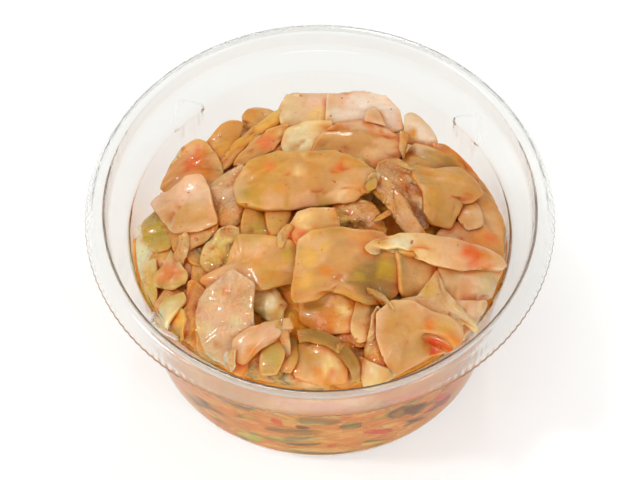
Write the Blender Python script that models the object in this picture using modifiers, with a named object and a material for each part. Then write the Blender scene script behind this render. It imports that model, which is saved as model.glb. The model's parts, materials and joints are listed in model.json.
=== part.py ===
"""Bowl of chili oil cabbage: a clear plastic cup holding a heap of cabbage pieces.

The cup stands on z = 0 with its axis on Z, and +Y is its back.  The heap is one solid: a
core that fits the cup, with the pieces that show at its top and its wall fused on.
"""
import math
import random
from dataclasses import dataclass

import bmesh
import bpy
from mathutils import Matrix, Vector, noise

MM = 0.001

# The cup: a thin shell, in millimetres on its outer skin
WALL = 0.5
CUP_HEIGHT = 45.0
BASE_RADIUS = 38.0
BASE_CORNER = 3.5
SHOULDER_RADIUS = 41.6
SHOULDER_HEIGHT = 36.0
COLLAR_RADIUS = 45.6
COLLAR_HEIGHT = 39.8
RIM_INNER_RADIUS = 46.6
RIM_OUTER_RADIUS = 48.1
SKIRT_RADIUS = 50.5
SKIRT_HEIGHT = 41.0
CUP_SIDES = 56
CUP_CREASE = 35.0
LARGE_CORNER = 1.5
LARGE_CORNER_STEPS = 3

# The stacking lugs: rounded diamonds on the inside of the sloping shoulder
LUG_COUNT = 4
LUG_START = 42.0
LUG_SIZE = 6.0
LUG_RISE = 0.8
LUG_ROOT = 0.2
LUG_CORNER = 1.4

# The heap, in millimetres: the mean surface of the pieces, highest in the middle and cut
# off steeply towards the back
GAP = 0.3
FACET_SPARE = 0.1
CROWN = 45.5
CREST_RADIUS = 40.0
BACK_CREST_RADIUS = 28.0
FRONT_FALL = 9.5
BACK_FALL = 3.0
BACK_SLOPE = 1.9
FALL_POWER = 2.4
BACK_POWER = 0.6
SLOPE_FOLLOWED = 0.8

# The core under the pieces: the shares of its outline that lie on the floor and the wall
CORE_DEPTH = 2.0
CORE_RIND = 1.2
CORE_SIDES = 30
CORE_RINGS = 15
CORE_TOP_SPARE = 2.0
FLOOR_SHARE = 0.3
WALL_SHARE = 0.25

# How a piece is shaped: raggedness of its outline, waves over its face, thinner edges,
# and the depths at which pieces pressed to the cup stop
RAGGED_SCALE = 1.7
WAVE_SCALE = 0.16
WAVE_SEED_SCALE = 3.1
EDGE_THINNING = 0.35
SQUEEZE = 1.5
SLACK_STEP = 0.037
SLACK_STEPS = 11
SEED_STEP = 7.3

# Pieces that no name is given to
FILL_COUNT = 50
FILL_RADIUS = 35.0
FILL_SEED = 25
FILL_SINK = 1.0
FILL_FIRST_SEED = 400.0
COVERED = 0.0
UNDER_OTHERS = 5.0
WALL_ROWS = (6.0, 14.0, 22.0, 30.0)
WALL_PIECES_A_ROW = 7
WALL_SEED = 19
WALL_FIRST_SEED = 900.0
WALL_PIECE_DEPTH = 6.0
WALL_PRESSED = 1.5


@dataclass
class Piece:
    """One cabbage piece: a sheet with a rounded outline, bent and laid on the heap.

    Sizes are in millimetres and angles in degrees.  bends holds (direction, start, radius,
    most angle): past start along direction the sheet curves down round the radius.
    """

    name: str
    x: float
    y: float
    lift: float
    length: float
    width: float
    yaw: float = 0.0
    pitch: float = 0.0
    roll: float = 0.0
    thick: float = 2.6
    taper: float = 0.0
    square: float = 0.65
    arc: float = 0.0
    ragged: float = 0.10
    wave: float = 0.5
    bends: tuple = ()
    cells: tuple = (4, 4)


PIECES = (
    # the middle
    Piece("middle_slab", 6, -15.5, 2.2, 20, 17, yaw=-3, roll=5, thick=3.4, square=0.5,
          bends=((180, 5.5, 2.5, 75), (-60, 6.0, 14, 40)), cells=(6, 5)),
    Piece("cream_block", 0.5, -6, 2.6, 11, 8, yaw=-8, roll=-6, thick=3.2),
    Piece("upper_long", -2, 3, 3.6, 27, 13, yaw=2, thick=3.0, square=0.8, pitch=-6,
          bends=((-90, 1.5, 5, 80), (90, 3.5, 14, 30)), cells=(7, 5)),
    Piece("middle_tongue", -8.5, -4, 2.6, 11, 6, yaw=80, thick=2.4, pitch=8),
    Piece("green_stalk", -13.5, -5.5, 2.4, 12, 6, yaw=100, thick=2.6, wave=0.9),
    Piece("ruffled_knob", -20.5, -11.5, 2.6, 9, 8, yaw=30, thick=1.8, wave=2.2),
    Piece("flat_left_slab", -11.5, -15.5, 2.0, 17, 11.5, yaw=-6, thick=2.8, ragged=0.16,
          bends=((0, 5, 12, 40),)),
    # the back
    Piece("back_oval", 8.5, 14.5, 2.8, 19, 14, yaw=-4, thick=2.6, square=0.9, pitch=4),
    Piece("back_pale", 9, 21.5, 1.8, 17, 12, yaw=-6, thick=2.4, pitch=10, square=0.55),
    Piece("back_tall", -5, 20, 2.4, 12, 11, yaw=20, thick=2.2, pitch=12),
    Piece("back_cream", -4.5, 14, 2.6, 13, 9, yaw=30, thick=3.0, taper=-0.4),
    Piece("back_strip", -13, 16.5, 2.2, 22, 4.5, yaw=42, thick=2.2, cells=(6, 2)),
    Piece("back_orange_strip", -8.5, 14, 1.6, 16, 4, yaw=38, thick=2.2, cells=(5, 2)),
    Piece("back_left_tan", -20.5, 15, 1.4, 12, 9, yaw=30, thick=2.4, pitch=8),
    Piece("back_olive_tip", -14.5, 20.5, 0.0, 6, 3, yaw=5, thick=1.6, cells=(3, 2)),
    # the left
    Piece("left_loop", -27.5, 9.5, 1.2, 15, 13, yaw=35, thick=2.4, pitch=6,
          bends=((150, 3, 8, 60),)),
    Piece("left_pink", -20, 6.5, 1.8, 11, 9, yaw=-25, thick=2.6, wave=1.0),
    Piece("left_slab", -27.5, -1.5, 2.8, 15, 13, yaw=-50, thick=2.8, square=0.55,
          bends=((-45, 5, 6, 50),), cells=(5, 5)),
    Piece("left_fold", -25, -6.5, 1.4, 11, 6, yaw=10, thick=2.4),
    Piece("left_leaf", -33.5, -7, 1.0, 11, 7, yaw=20, thick=1.4, wave=1.2),
    Piece("left_crumple", -31, -14.5, 1.4, 9, 8, yaw=60, thick=1.6, wave=2.0),
    Piece("left_white", -30.5, -22, 0.6, 8, 5.5, yaw=35, thick=3.0, cells=(4, 3)),
    Piece("left_yellow", -29, -26, 0.2, 9, 5, yaw=-70, thick=2.4, cells=(4, 3)),
    Piece("left_orange", -25.5, -23, -0.8, 14, 6, yaw=-75, thick=2.4, cells=(4, 3)),
    # the front
    Piece("pink_slab", -17.5, -26.5, 2.6, 18, 13, yaw=84, thick=2.6, taper=0.15,
          ragged=0.14, bends=((-90, 4, 14, 40),), cells=(5, 5)),
    Piece("pink_arm", -9.5, -31.5, 2.0, 9, 3.5, yaw=18, thick=2.2, taper=-0.5, cells=(4, 2)),
    Piece("ribbed_bit", -10.5, -23.5, 1.2, 10, 6.5, yaw=-65, thick=2.6, wave=0.8),
    Piece("front_green", -10, -34, 0.8, 9, 6, yaw=20, thick=2.2, cells=(4, 3)),
    Piece("front_olive", -5.5, -34.5, 0.6, 7, 5, yaw=-35, thick=2.2, cells=(3, 3)),
    Piece("front_white", -18.5, -34.5, 0.8, 5, 4, yaw=40, thick=2.4, cells=(3, 3)),
    Piece("below_middle", 1, -27, 1.2, 10, 9, yaw=15, thick=2.6),
    Piece("grey_green_slab", 8, -29.5, 0.8, 12, 7, yaw=70, thick=2.4),
    Piece("olive_arc", 5, -33, 2.0, 23, 2.6, yaw=-45, thick=2.2, arc=0.085,
          ragged=0.04, cells=(10, 1)),
    Piece("arc_inside", 1, -34, 0.4, 11, 7, yaw=0, thick=2.4, cells=(4, 3)),
    Piece("wet_bits", 12, -30.5, 1.0, 11, 4.5, yaw=80, thick=2.4, wave=1.4),
    # the right
    Piece("right_long", 24.5, -10.5, 3.4, 29, 8.5, yaw=-4, thick=2.8, taper=0.45,
          square=0.9, bends=((-90, 1.5, 8, 60),), cells=(7, 3)),
    Piece("right_peak", 23, -19, 2.6, 16, 12, yaw=35, thick=2.6, taper=-0.5,
          bends=((90, 2, 7, 50),)),
    Piece("right_wide", 31, -17.5, 1.6, 15, 11, yaw=-15, thick=2.6),
    Piece("right_big_slab", 19.5, -29, 2.0, 17, 16, yaw=-8, thick=2.8, square=0.7,
          cells=(5, 5)),
    Piece("right_low_slab", 28, -26.5, 0.8, 13, 11, yaw=-35, thick=2.4),
    Piece("cross_strip", 16, 2, 2.8, 20, 4.2, yaw=-60, thick=2.4, arc=-0.03,
          cells=(7, 2)),
    Piece("amber_bit", 10.5, -2, 1.6, 7, 6, yaw=20, thick=2.6, wave=1.2, cells=(3, 3)),
    Piece("amber_lump", 13, -7, 1.0, 7, 5, yaw=-30, thick=2.6, wave=1.2, cells=(3, 3)),
    Piece("pink_lump", 17.5, 10.5, 2.2, 7, 6, yaw=60, thick=2.6, wave=1.0, cells=(3, 3)),
    Piece("right_upper_slab", 26.5, 5.5, 2.4, 18, 15, yaw=40, thick=3.0, square=0.6,
          bends=((40, 5, 12, 40),), cells=(5, 5)),
    Piece("olive_slab", 21.5, 11.5, 2.0, 10, 9, yaw=-20, thick=2.4),
    Piece("clear_tip", 21.5, 18, 2.2, 12, 6, yaw=110, thick=2.0, taper=-0.4, pitch=-10),
    Piece("orange_slice", 30, 12.5, 0.6, 16, 6, yaw=-48, thick=2.2),
    Piece("right_wall_slab", 36, 1, 0.4, 14, 7, yaw=-80, thick=2.2, roll=20),
    Piece("right_cube", 32, -1.5, 1.8, 6.5, 6, yaw=10, thick=3.4, square=0.45,
          cells=(3, 3)),
)


def outer_radius(height):
    """Radius of the cup's outer skin at a height, in millimetres."""
    if height < BASE_CORNER:
        rise = BASE_CORNER - height
        return BASE_RADIUS - BASE_CORNER + math.sqrt(BASE_CORNER ** 2 - rise ** 2)
    stops = ((BASE_CORNER, BASE_RADIUS), (SHOULDER_HEIGHT, SHOULDER_RADIUS),
             (COLLAR_HEIGHT, COLLAR_RADIUS), (CUP_HEIGHT, RIM_INNER_RADIUS))
    for (low, inner), (high, outer) in zip(stops, stops[1:]):
        if height <= high:
            return inner + (outer - inner) * (height - low) / (high - low)
    return RIM_INNER_RADIUS


def food_radius(height):
    """The furthest out that food may reach at a height."""
    facet = math.cos(math.pi / CUP_SIDES)
    return (outer_radius(max(height - WALL, 0.0)) - WALL - GAP) * facet - FACET_SPARE


def heap_height(x, y):
    """Height of the pieces' mean surface above the point (x, y)."""
    radius = math.hypot(x, y)
    back = max(0.0, y) / radius if radius > 0.0 else 0.0
    crest = CREST_RADIUS + (BACK_CREST_RADIUS - CREST_RADIUS) * back ** BACK_POWER
    fall = FRONT_FALL + (BACK_FALL - FRONT_FALL) * back
    inside = min(radius / crest, 1.0)
    return CROWN - fall * inside ** FALL_POWER - BACK_SLOPE * max(0.0, radius - crest)


def heap_normal(x, y):
    """Upright direction of a piece that lies on the heap at (x, y)."""
    step = 2.0
    along = heap_height(x + step, y) - heap_height(x - step, y)
    across = heap_height(x, y + step) - heap_height(x, y - step)
    tilt = SLOPE_FOLLOWED / (2.0 * step)
    return Vector((-along * tilt, -across * tilt, 1.0)).normalized()


def kept_inside(point, spare):
    """The point squeezed inwards to where it is clear of the cup by the gap and the spare."""
    height = max(point.z, WALL + GAP + spare)
    free = food_radius(height) - spare - SQUEEZE
    radius = math.hypot(point.x, point.y)
    if radius <= free:
        return Vector((point.x, point.y, height))
    squeezed = free + SQUEEZE * (1.0 - math.exp((free - radius) / SQUEEZE))
    return Vector((point.x * squeezed / radius, point.y * squeezed / radius, height))


def bent_down(point, bend):
    """The point of a flat sheet after one bend round a cylinder under the sheet."""
    direction, start, radius, most = bend
    way = Vector((math.cos(math.radians(direction)), math.sin(math.radians(direction)), 0.0))
    past = point.dot(way) - start
    if past <= 0.0:
        return point
    angle = min(past / radius, math.radians(most))
    straight = past - angle * radius
    out = radius * math.sin(angle) + straight * math.cos(angle)
    down = radius * (1.0 - math.cos(angle)) + straight * math.sin(angle)
    return point + way * (out - past) - Vector((0.0, 0.0, down))


def sheet_point(piece, seed, u, v):
    """Middle of the sheet at (u, v), each from -1 to 1, before the sheet is laid down."""
    across = u * math.sqrt(1.0 - v * v / 2.0)
    up = v * math.sqrt(1.0 - u * u / 2.0)
    reach = math.hypot(across, up)
    angle = math.atan2(up, across)
    rough = noise.noise(Vector((math.cos(angle), math.sin(angle), seed)) * RAGGED_SCALE)
    reach *= 1.0 + piece.ragged * 2.0 * rough
    cosine, sine = math.cos(angle), math.sin(angle)
    p = piece.length / 2 * reach * math.copysign(abs(cosine) ** piece.square, cosine)
    q = piece.width / 2 * reach * math.copysign(abs(sine) ** piece.square, sine)
    q *= 1.0 + piece.taper * 2.0 * p / piece.length
    if piece.arc:
        swing = p * piece.arc
        p, q = ((1.0 / piece.arc + q) * math.sin(swing),
                (1.0 / piece.arc + q) * math.cos(swing) - 1.0 / piece.arc)
    lift = noise.noise(Vector((p * WAVE_SCALE, q * WAVE_SCALE, seed * WAVE_SEED_SCALE)))
    point = Vector((p, q, piece.wave * 2.0 * lift * (0.4 + 0.6 * reach)))
    for bend in piece.bends:
        point = bent_down(point, bend)
    return point


def laid_on_heap(piece):
    """Matrix that lays a flat sheet on the heap at the piece's place."""
    upright = heap_normal(piece.x, piece.y)
    place = Vector((piece.x, piece.y, heap_height(piece.x, piece.y) + piece.lift))
    lean = Vector((0.0, 0.0, 1.0)).rotation_difference(upright).to_matrix().to_4x4()
    turn = (Matrix.Rotation(math.radians(piece.yaw), 4, "Z")
            @ Matrix.Rotation(math.radians(piece.pitch), 4, "X")
            @ Matrix.Rotation(math.radians(piece.roll), 4, "Y"))
    return Matrix.Translation(place) @ lean @ turn


def laid_on_wall(piece, height):
    """Matrix that stands a flat sheet against the cup's wall, at the azimuth piece.x."""
    azimuth = math.radians(piece.x)
    radius = food_radius(height) + WALL_PRESSED
    place = Vector((radius * math.cos(azimuth), radius * math.sin(azimuth), height))
    stand = Matrix.Rotation(azimuth + math.pi / 2, 4, "Z") @ Matrix.Rotation(math.pi / 2, 4, "X")
    return Matrix.Translation(place) @ stand @ Matrix.Rotation(math.radians(piece.yaw), 4, "Z")


def new_object(name, mesh_bmesh, collection):
    """An object with the mesh that a bmesh holds, which is freed."""
    mesh = bpy.data.meshes.new(name)
    mesh_bmesh.to_mesh(mesh)
    mesh_bmesh.free()
    thing = bpy.data.objects.new(name, mesh)
    collection.objects.link(thing)
    return thing


def make_piece(piece, seed, lay, collection):
    """A thin closed solid for one piece, with both faces split into triangles alike.

    Pieces pressed to the cup stop at slightly different depths, so no two of them share a
    surface.
    """
    slack = SLACK_STEP * (len(collection.objects) % SLACK_STEPS + 1)
    sheet = bmesh.new()
    bmesh.ops.create_grid(sheet, x_segments=piece.cells[0], y_segments=piece.cells[1], size=1.0)
    bmesh.ops.triangulate(sheet, faces=sheet.faces)
    bmesh.ops.solidify(sheet, geom=sheet.faces[:], thickness=1.0)
    levels = [vertex.co.z for vertex in sheet.verts]
    middle = (min(levels) + max(levels)) / 2
    step = 0.04
    for vertex in sheet.verts:
        u = max(-1.0, min(1.0, vertex.co.x))
        v = max(-1.0, min(1.0, vertex.co.y))
        side = vertex.co.z - middle
        thin = piece.thick * (1.0 - EDGE_THINNING * max(abs(u), abs(v)) ** 3)
        centre = kept_inside(lay @ sheet_point(piece, seed, u, v), thin / 2 + slack)
        inner_u, inner_v = u * 0.9, v * 0.9
        here = sheet_point(piece, seed, inner_u, inner_v)
        along = sheet_point(piece, seed, inner_u + step, inner_v) - here
        over = sheet_point(piece, seed, inner_u, inner_v + step) - here
        upright = (lay.to_3x3() @ along.cross(over)).normalized()
        vertex.co = kept_inside(centre + upright * side * thin, slack) * MM
    if sheet.calc_volume(signed=True) < 0.0:
        bmesh.ops.reverse_faces(sheet, faces=sheet.faces)
    return new_object(piece.name, sheet, collection)


def make_core(collection):
    """The body of the heap under its pieces: a ball drawn out to the cup and the heap."""
    core = bmesh.new()
    bmesh.ops.create_uvsphere(core, u_segments=CORE_SIDES, v_segments=CORE_RINGS, radius=1.0)
    for vertex in core.verts:
        azimuth = math.atan2(vertex.co.y, vertex.co.x)
        share = math.acos(max(-1.0, min(1.0, -vertex.co.z))) / math.pi
        out = Vector((math.cos(azimuth), math.sin(azimuth)))
        edge = food_radius(SHOULDER_HEIGHT) - CORE_RIND
        top = min(heap_height(*(out * edge)) - CORE_DEPTH, SHOULDER_HEIGHT - CORE_TOP_SPARE)
        if share < FLOOR_SHARE:
            height = WALL + GAP
            radius = (BASE_RADIUS - BASE_CORNER - CORE_RIND) * share / FLOOR_SHARE
        elif share < FLOOR_SHARE + WALL_SHARE:
            climb = (share - FLOOR_SHARE) / WALL_SHARE
            height = BASE_CORNER + (top - BASE_CORNER) * climb
            radius = food_radius(height) - CORE_RIND
        else:
            left = (1.0 - share) / (1.0 - FLOOR_SHARE - WALL_SHARE)
            radius = (food_radius(top) - CORE_RIND) * left
            height = heap_height(*(out * radius)) - CORE_DEPTH
        vertex.co = Vector((out.x * radius, out.y * radius, height)) * MM
    return new_object("cabbage", core, collection)


def fill_pieces():
    """Plain pieces spread over the whole heap, low enough to lie under the named ones."""
    draw = random.Random(FILL_SEED)
    golden = math.pi * (3.0 - math.sqrt(5.0))
    for index in range(FILL_COUNT):
        radius = FILL_RADIUS * math.sqrt((index + 0.5) / FILL_COUNT)
        azimuth = index * golden
        x, y = radius * math.cos(azimuth), radius * math.sin(azimuth)
        piece = Piece(
            f"fill_{index}", x, y, draw.uniform(-1.0, 0.3), draw.uniform(10, 15),
            draw.uniform(6, 10), yaw=draw.uniform(0, 180), pitch=draw.uniform(-14, 14),
            roll=draw.uniform(-14, 14), thick=draw.uniform(1.8, 2.8), cells=(3, 2),
            wave=draw.uniform(0.6, 1.4))
        nearest = min(math.hypot(named.x - x, named.y - y) - named.length * 0.4
                      for named in PIECES)
        if nearest < COVERED:
            continue
        if nearest < UNDER_OTHERS:
            piece.lift -= FILL_SINK
        yield piece


def wall_pieces():
    """Pieces pressed flat against the cup, with their heights."""
    draw = random.Random(WALL_SEED)
    for row, height in enumerate(WALL_ROWS):
        for index in range(WALL_PIECES_A_ROW):
            azimuth = (index + 0.5 * (row % 2)) * 360.0 / WALL_PIECES_A_ROW
            piece = Piece(
                f"wall_{row}_{index}", azimuth + draw.uniform(-8, 8), 0.0, 0.0,
                draw.uniform(16, 24), draw.uniform(3.5, 5.5), yaw=draw.uniform(-5, 5),
                thick=3.0, square=0.85, wave=0.0, cells=(4, 1))
            height_here = height + draw.uniform(-0.8, 0.8)
            edge = food_radius(height) * Vector((math.cos(math.radians(azimuth)),
                                                 math.sin(math.radians(azimuth))))
            if height_here < heap_height(*edge) - WALL_PIECE_DEPTH:
                yield piece, height_here


def keep_largest_shell(thing):
    """Drops the sealed hollows and loose scraps that fusing the pieces leaves behind."""
    solid = bmesh.new()
    solid.from_mesh(thing.data)
    waiting = set(solid.faces)
    shells = []
    while waiting:
        front = [waiting.pop()]
        shell = set(front)
        while front:
            face = front.pop()
            beside = {other for edge in face.edges for other in edge.link_faces} & waiting
            waiting -= beside
            shell |= beside
            front.extend(beside)
        shells.append(shell)
    largest = max(shells, key=len)
    scraps = [face for face in solid.faces if face not in largest]
    bmesh.ops.delete(solid, geom=scraps, context="FACES")
    solid.to_mesh(thing.data)
    solid.free()


def make_heap(parts):
    """The core with every piece fused on, as one closed solid."""
    loose = bpy.data.collections.new("loose pieces")
    bpy.context.scene.collection.children.link(loose)
    heap = make_core(parts)
    for seed, piece in enumerate(PIECES):
        make_piece(piece, seed * SEED_STEP, laid_on_heap(piece), loose)
    for seed, piece in enumerate(fill_pieces()):
        make_piece(piece, FILL_FIRST_SEED + seed * SEED_STEP, laid_on_heap(piece), loose)
    for seed, (piece, height) in enumerate(wall_pieces()):
        make_piece(piece, WALL_FIRST_SEED + seed * SEED_STEP, laid_on_wall(piece, height), loose)
    fuse = heap.modifiers.new("fuse", "BOOLEAN")
    fuse.operation = "UNION"
    fuse.solver = "MANIFOLD"
    fuse.operand_type = "COLLECTION"
    fuse.collection = loose
    evaluated = heap.evaluated_get(bpy.context.evaluated_depsgraph_get())
    fused = bpy.data.meshes.new_from_object(evaluated)
    heap.modifiers.clear()
    heap.data = fused
    for thing in list(loose.objects):
        bpy.data.objects.remove(thing)
    bpy.data.collections.remove(loose)
    keep_largest_shell(heap)
    heap.data.materials.append(material("cabbage in chili oil", (0.66, 0.35, 0.12), 0.35))
    return heap


def rounded(corners):
    """Points of a turned outline: each corner is (radius, height, rounding)."""
    points = []
    for index, (radius, height, rounding) in enumerate(corners):
        corner = Vector((radius, height))
        if rounding == 0.0:
            points.append(corner)
            continue
        before = (Vector(corners[index - 1][:2]) - corner).normalized() * rounding
        after = (Vector(corners[index + 1][:2]) - corner).normalized() * rounding
        steps = LARGE_CORNER_STEPS if rounding > LARGE_CORNER else 1
        for step in range(steps + 1):
            share = step / steps
            inward = before * (1.0 - share) ** 2 + after * share ** 2
            points.append(corner + inward)
    return points


def make_cup(parts):
    """The cup: a turned shell with a flared skirt and four stacking lugs."""
    corners = (
        (SKIRT_RADIUS - WALL, SKIRT_HEIGHT, 0.0),
        (RIM_OUTER_RADIUS, CUP_HEIGHT - WALL, 0.8),
        (RIM_INNER_RADIUS, CUP_HEIGHT - WALL, 0.5),
        (COLLAR_RADIUS, COLLAR_HEIGHT, 0.8),
        (SHOULDER_RADIUS, SHOULDER_HEIGHT, 1.0),
        (BASE_RADIUS - 0.3, 0.0, BASE_CORNER),
        (0.0, 0.0, 0.0),
    )
    outline = bmesh.new()
    trail = [outline.verts.new((point.x * MM, 0.0, point.y * MM)) for point in rounded(corners)]
    for first, second in zip(trail, trail[1:]):
        outline.edges.new((first, second))
    cup = new_object("cup", outline, parts)

    turn = cup.modifiers.new("turn", "SCREW")
    turn.steps = CUP_SIDES
    turn.render_steps = CUP_SIDES
    turn.use_merge_vertices = True
    turn.merge_threshold = 0.00001
    shell = cup.modifiers.new("shell", "SOLIDIFY")
    shell.thickness = WALL * MM
    shell.offset = -1.0

    lugs = bpy.data.collections.new("lugs")
    bpy.context.scene.collection.children.link(lugs)
    for index in range(LUG_COUNT):
        make_lug(math.radians(LUG_START + index * 360.0 / LUG_COUNT), lugs)
    fuse = cup.modifiers.new("lugs", "BOOLEAN")
    fuse.operation = "UNION"
    fuse.operand_type = "COLLECTION"
    fuse.collection = lugs
    evaluated = cup.evaluated_get(bpy.context.evaluated_depsgraph_get())
    whole = bpy.data.meshes.new_from_object(evaluated)
    cup.modifiers.clear()
    cup.data = whole
    for thing in list(lugs.objects):
        bpy.data.objects.remove(thing)
    bpy.data.collections.remove(lugs)
    cup.data.shade_smooth()
    cup.data.set_sharp_from_angle(angle=math.radians(CUP_CREASE))
    cup.data.materials.append(material("clear plastic", (0.95, 0.96, 0.95), 0.05, 0.3))
    return cup


def make_lug(azimuth, collection):
    """A rounded diamond pad, rooted in the shell of the sloping shoulder."""
    lug = bmesh.new()
    bmesh.ops.create_cube(lug, size=1.0)
    thick = LUG_RISE + LUG_ROOT
    bmesh.ops.scale(lug, verts=lug.verts, vec=Vector((LUG_SIZE, LUG_SIZE, thick)))
    upright = [edge for edge in lug.edges
               if abs(edge.verts[0].co.z - edge.verts[1].co.z) > thick / 2]
    bmesh.ops.bevel(lug, geom=upright, offset=LUG_CORNER, segments=2, profile=0.5,
                    affect="EDGES", material=-1)
    slope = math.atan2(COLLAR_HEIGHT - SHOULDER_HEIGHT, COLLAR_RADIUS - SHOULDER_RADIUS)
    inward = Vector((-math.sin(slope), 0.0, math.cos(slope)))
    middle = Vector(((SHOULDER_RADIUS + COLLAR_RADIUS) / 2, 0.0,
                     (SHOULDER_HEIGHT + COLLAR_HEIGHT) / 2))
    place = middle + inward * (WALL - LUG_ROOT + thick / 2)
    lay = (Matrix.Rotation(azimuth, 4, "Z") @ Matrix.Translation(place)
           @ Matrix.Rotation(-slope, 4, "Y") @ Matrix.Rotation(math.pi / 4, 4, "Z"))
    bmesh.ops.transform(lug, matrix=Matrix.Scale(MM, 4) @ lay, verts=lug.verts)
    return new_object("lug", lug, collection)


def material(name, colour, roughness, alpha=1.0):
    """A plain finish in the part's own colour."""
    finish = bpy.data.materials.new(name)
    finish.use_nodes = True
    shader = finish.node_tree.nodes["Principled BSDF"]
    shader.inputs["Base Color"].default_value = (*colour, 1.0)
    shader.inputs["Roughness"].default_value = roughness
    shader.inputs["Metallic"].default_value = 0.0
    shader.inputs["Alpha"].default_value = alpha
    return finish


def main():
    """Clears the scene and makes the cup and the heap in it."""
    for thing in list(bpy.data.objects):
        bpy.data.objects.remove(thing)
    parts = bpy.data.collections.new("bowl of chili oil cabbage")
    bpy.context.scene.collection.children.link(parts)
    make_cup(parts)
    make_heap(parts)


main()
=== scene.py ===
"""Bowl of chili oil cabbage: the finished pieces, their materials and the stage.

The cup stands on z = 0 with its axis on Z, and +Y is its back.  Shapes are worked out in
millimetres, as in the part's own source, and written to the meshes in metres.
"""
import json
import math
import random
from dataclasses import dataclass, replace

import bmesh
import bpy
from bpy.props import FloatProperty, FloatVectorProperty, IntProperty, PointerProperty
from mathutils import Matrix, Vector, noise
from mathutils.bvhtree import BVHTree

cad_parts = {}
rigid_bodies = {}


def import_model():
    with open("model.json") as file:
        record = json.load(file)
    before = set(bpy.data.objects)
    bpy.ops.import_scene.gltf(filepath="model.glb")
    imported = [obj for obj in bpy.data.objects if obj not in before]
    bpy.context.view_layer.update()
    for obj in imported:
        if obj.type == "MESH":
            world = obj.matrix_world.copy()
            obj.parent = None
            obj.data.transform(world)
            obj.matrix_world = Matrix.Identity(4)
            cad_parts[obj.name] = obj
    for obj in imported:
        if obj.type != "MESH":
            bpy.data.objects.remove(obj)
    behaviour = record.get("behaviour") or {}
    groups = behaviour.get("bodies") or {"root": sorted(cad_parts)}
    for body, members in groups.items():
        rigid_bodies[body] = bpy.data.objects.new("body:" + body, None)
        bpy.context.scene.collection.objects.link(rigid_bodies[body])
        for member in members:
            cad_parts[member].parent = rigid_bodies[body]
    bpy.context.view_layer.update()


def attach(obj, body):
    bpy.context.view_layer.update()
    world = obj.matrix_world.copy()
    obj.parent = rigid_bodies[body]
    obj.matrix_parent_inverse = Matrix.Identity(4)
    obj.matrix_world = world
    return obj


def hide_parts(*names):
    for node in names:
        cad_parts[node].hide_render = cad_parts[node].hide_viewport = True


bl_info = {
    "name": "Bowl of chili oil cabbage",
    "version": (1, 0, 0),
    "blender": (4, 5, 0),
    "location": "3D View > Sidebar > Cabbage",
    "description": "Builds a clear cup heaped with cabbage pieces in chili oil",
    "category": "Add Mesh",
}

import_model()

MM = 0.001

# Vector noise starts from the clock unless it is given a seed of its own
NOISE_SEED = 1795407700

# The cup's outer skin, in millimetres
WALL = 0.5
CUP_HEIGHT = 45.0
BASE_RADIUS = 38.0
BASE_CORNER = 3.5
SHOULDER_RADIUS = 41.6
SHOULDER_HEIGHT = 36.0
COLLAR_RADIUS = 45.6
COLLAR_HEIGHT = 39.8
RIM_INNER_RADIUS = 46.6
RIM_OUTER_RADIUS = 48.1
SKIRT_RADIUS = 50.5
SKIRT_HEIGHT = 41.0
FLUTE_TOP = 42.6
RIM_HAZE_HEIGHT = 41.5

# Steps along the cup's outline: the plain wall, further than this below the shoulder, takes
# steps that are longer by this many times
PROFILE_STEP = 0.48
PLAIN_STEPS = 8.0
FINE_BELOW = 7.5
CORNER_STEPS = 6

# The stacking lugs pressed into the shoulder, in millimetres; their azimuths in degrees
LUG_ANGLES = (38.0, 135.0, 218.0, 315.0)
LUG_LOWEST = SHOULDER_HEIGHT - 8.0
LUG_HIGHEST = CUP_HEIGHT - 2.0
LUG_FADE = 3.0
LUG_FADED = 0.6
LUG_ROUNDING = 0.78
LUG_HALF = 3.0
LUG_RISE = 0.8
LUG_EDGE = 0.45
LUG_LINE = 0.26

# The heap's mean surface, in millimetres
CROWN = 45.5
CREST_RADIUS = 40.0
BACK_CREST_RADIUS = 28.0
FRONT_FALL = 9.5
BACK_FALL = 3.0
BACK_SLOPE = 1.9
FALL_POWER = 2.4
BACK_POWER = 0.6
SLOPE_FOLLOWED = 0.8

# Oil and pieces reach this far into the cup's wall, so no air shows between them
BITE = 0.28
OIL_BITE = 0.20

# The oil-soaked core under the pieces
CORE_DEPTH = 2.2
CORE_SIDES = 160
CORE_RINGS = 90
CORE_TOP_SPARE = 1.6
CORE_SWELLS = 3.0
CORE_CLOUDS = 0.12
LUMP_SCALE = 0.25
LUMP_HEIGHT = 0.8
LUMP_FADE = 8.0
FLOOR_SHARE = 0.25
WALL_SHARE = 0.35

# How a piece is shaped
RAGGED_SCALE = 1.7
WAVE_SCALE = 0.16
WAVE_SEED_SCALE = 3.1
WAVE_AT_MIDDLE = 0.4
WRINKLES_ALONG = 0.28
WRINKLES_ACROSS = 0.55
LEAST_CRUMPLED = 0.4
EDGE_THINNING = 0.4
EDGE_POWER = 6
EDGE_CREASE = 0.9
FOLD_SCALE = 0.13
FOLD_SEED = 30.0
NICK_SCALE = 0.7
NARROW_CELL = 0.4
UNDERSIDE = 0.12
TILT_FROM = 0.9
TILT_STEP = 0.04
CLEAR_MIDDLE = 0.15
CLEAR_RIM = 0.6
EDGE_REST = 0.1
REST_PASSES = 3
DOME_POWER = 1.2
GROWTH = 1.12

# How a piece's colours lie: scales are per millimetre, depths are shares
BLEND_SCALE = 0.22
BLEND_SHARE = 0.35
STAIN_SEED = 50.0
STAIN_SCALE = 0.3
STAINED = 0.45
WASH_SEED = 90.0
WASH_SCALE = 0.2
WASHED = 0.35
GRAIN_ALONG = 0.06
GRAIN_ACROSS = 0.5
GRAIN_DEPTH = 0.14
EDGING_SEED = 20.0
# Share of the rim band: the edge's own stain where its colour is orange, a painted highlight where
# it is pale.
EDGE_TINT_AND_HIGHLIGHT = 0.7
SPOT_RAGGED = 0.9

# Outlines are read from above the front, at this height over the mean surface.  From there
# a place that lies higher looks as if it lay further back, by this share of the height.
READ_HEIGHT = 1.5
LEAN = 0.687

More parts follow.
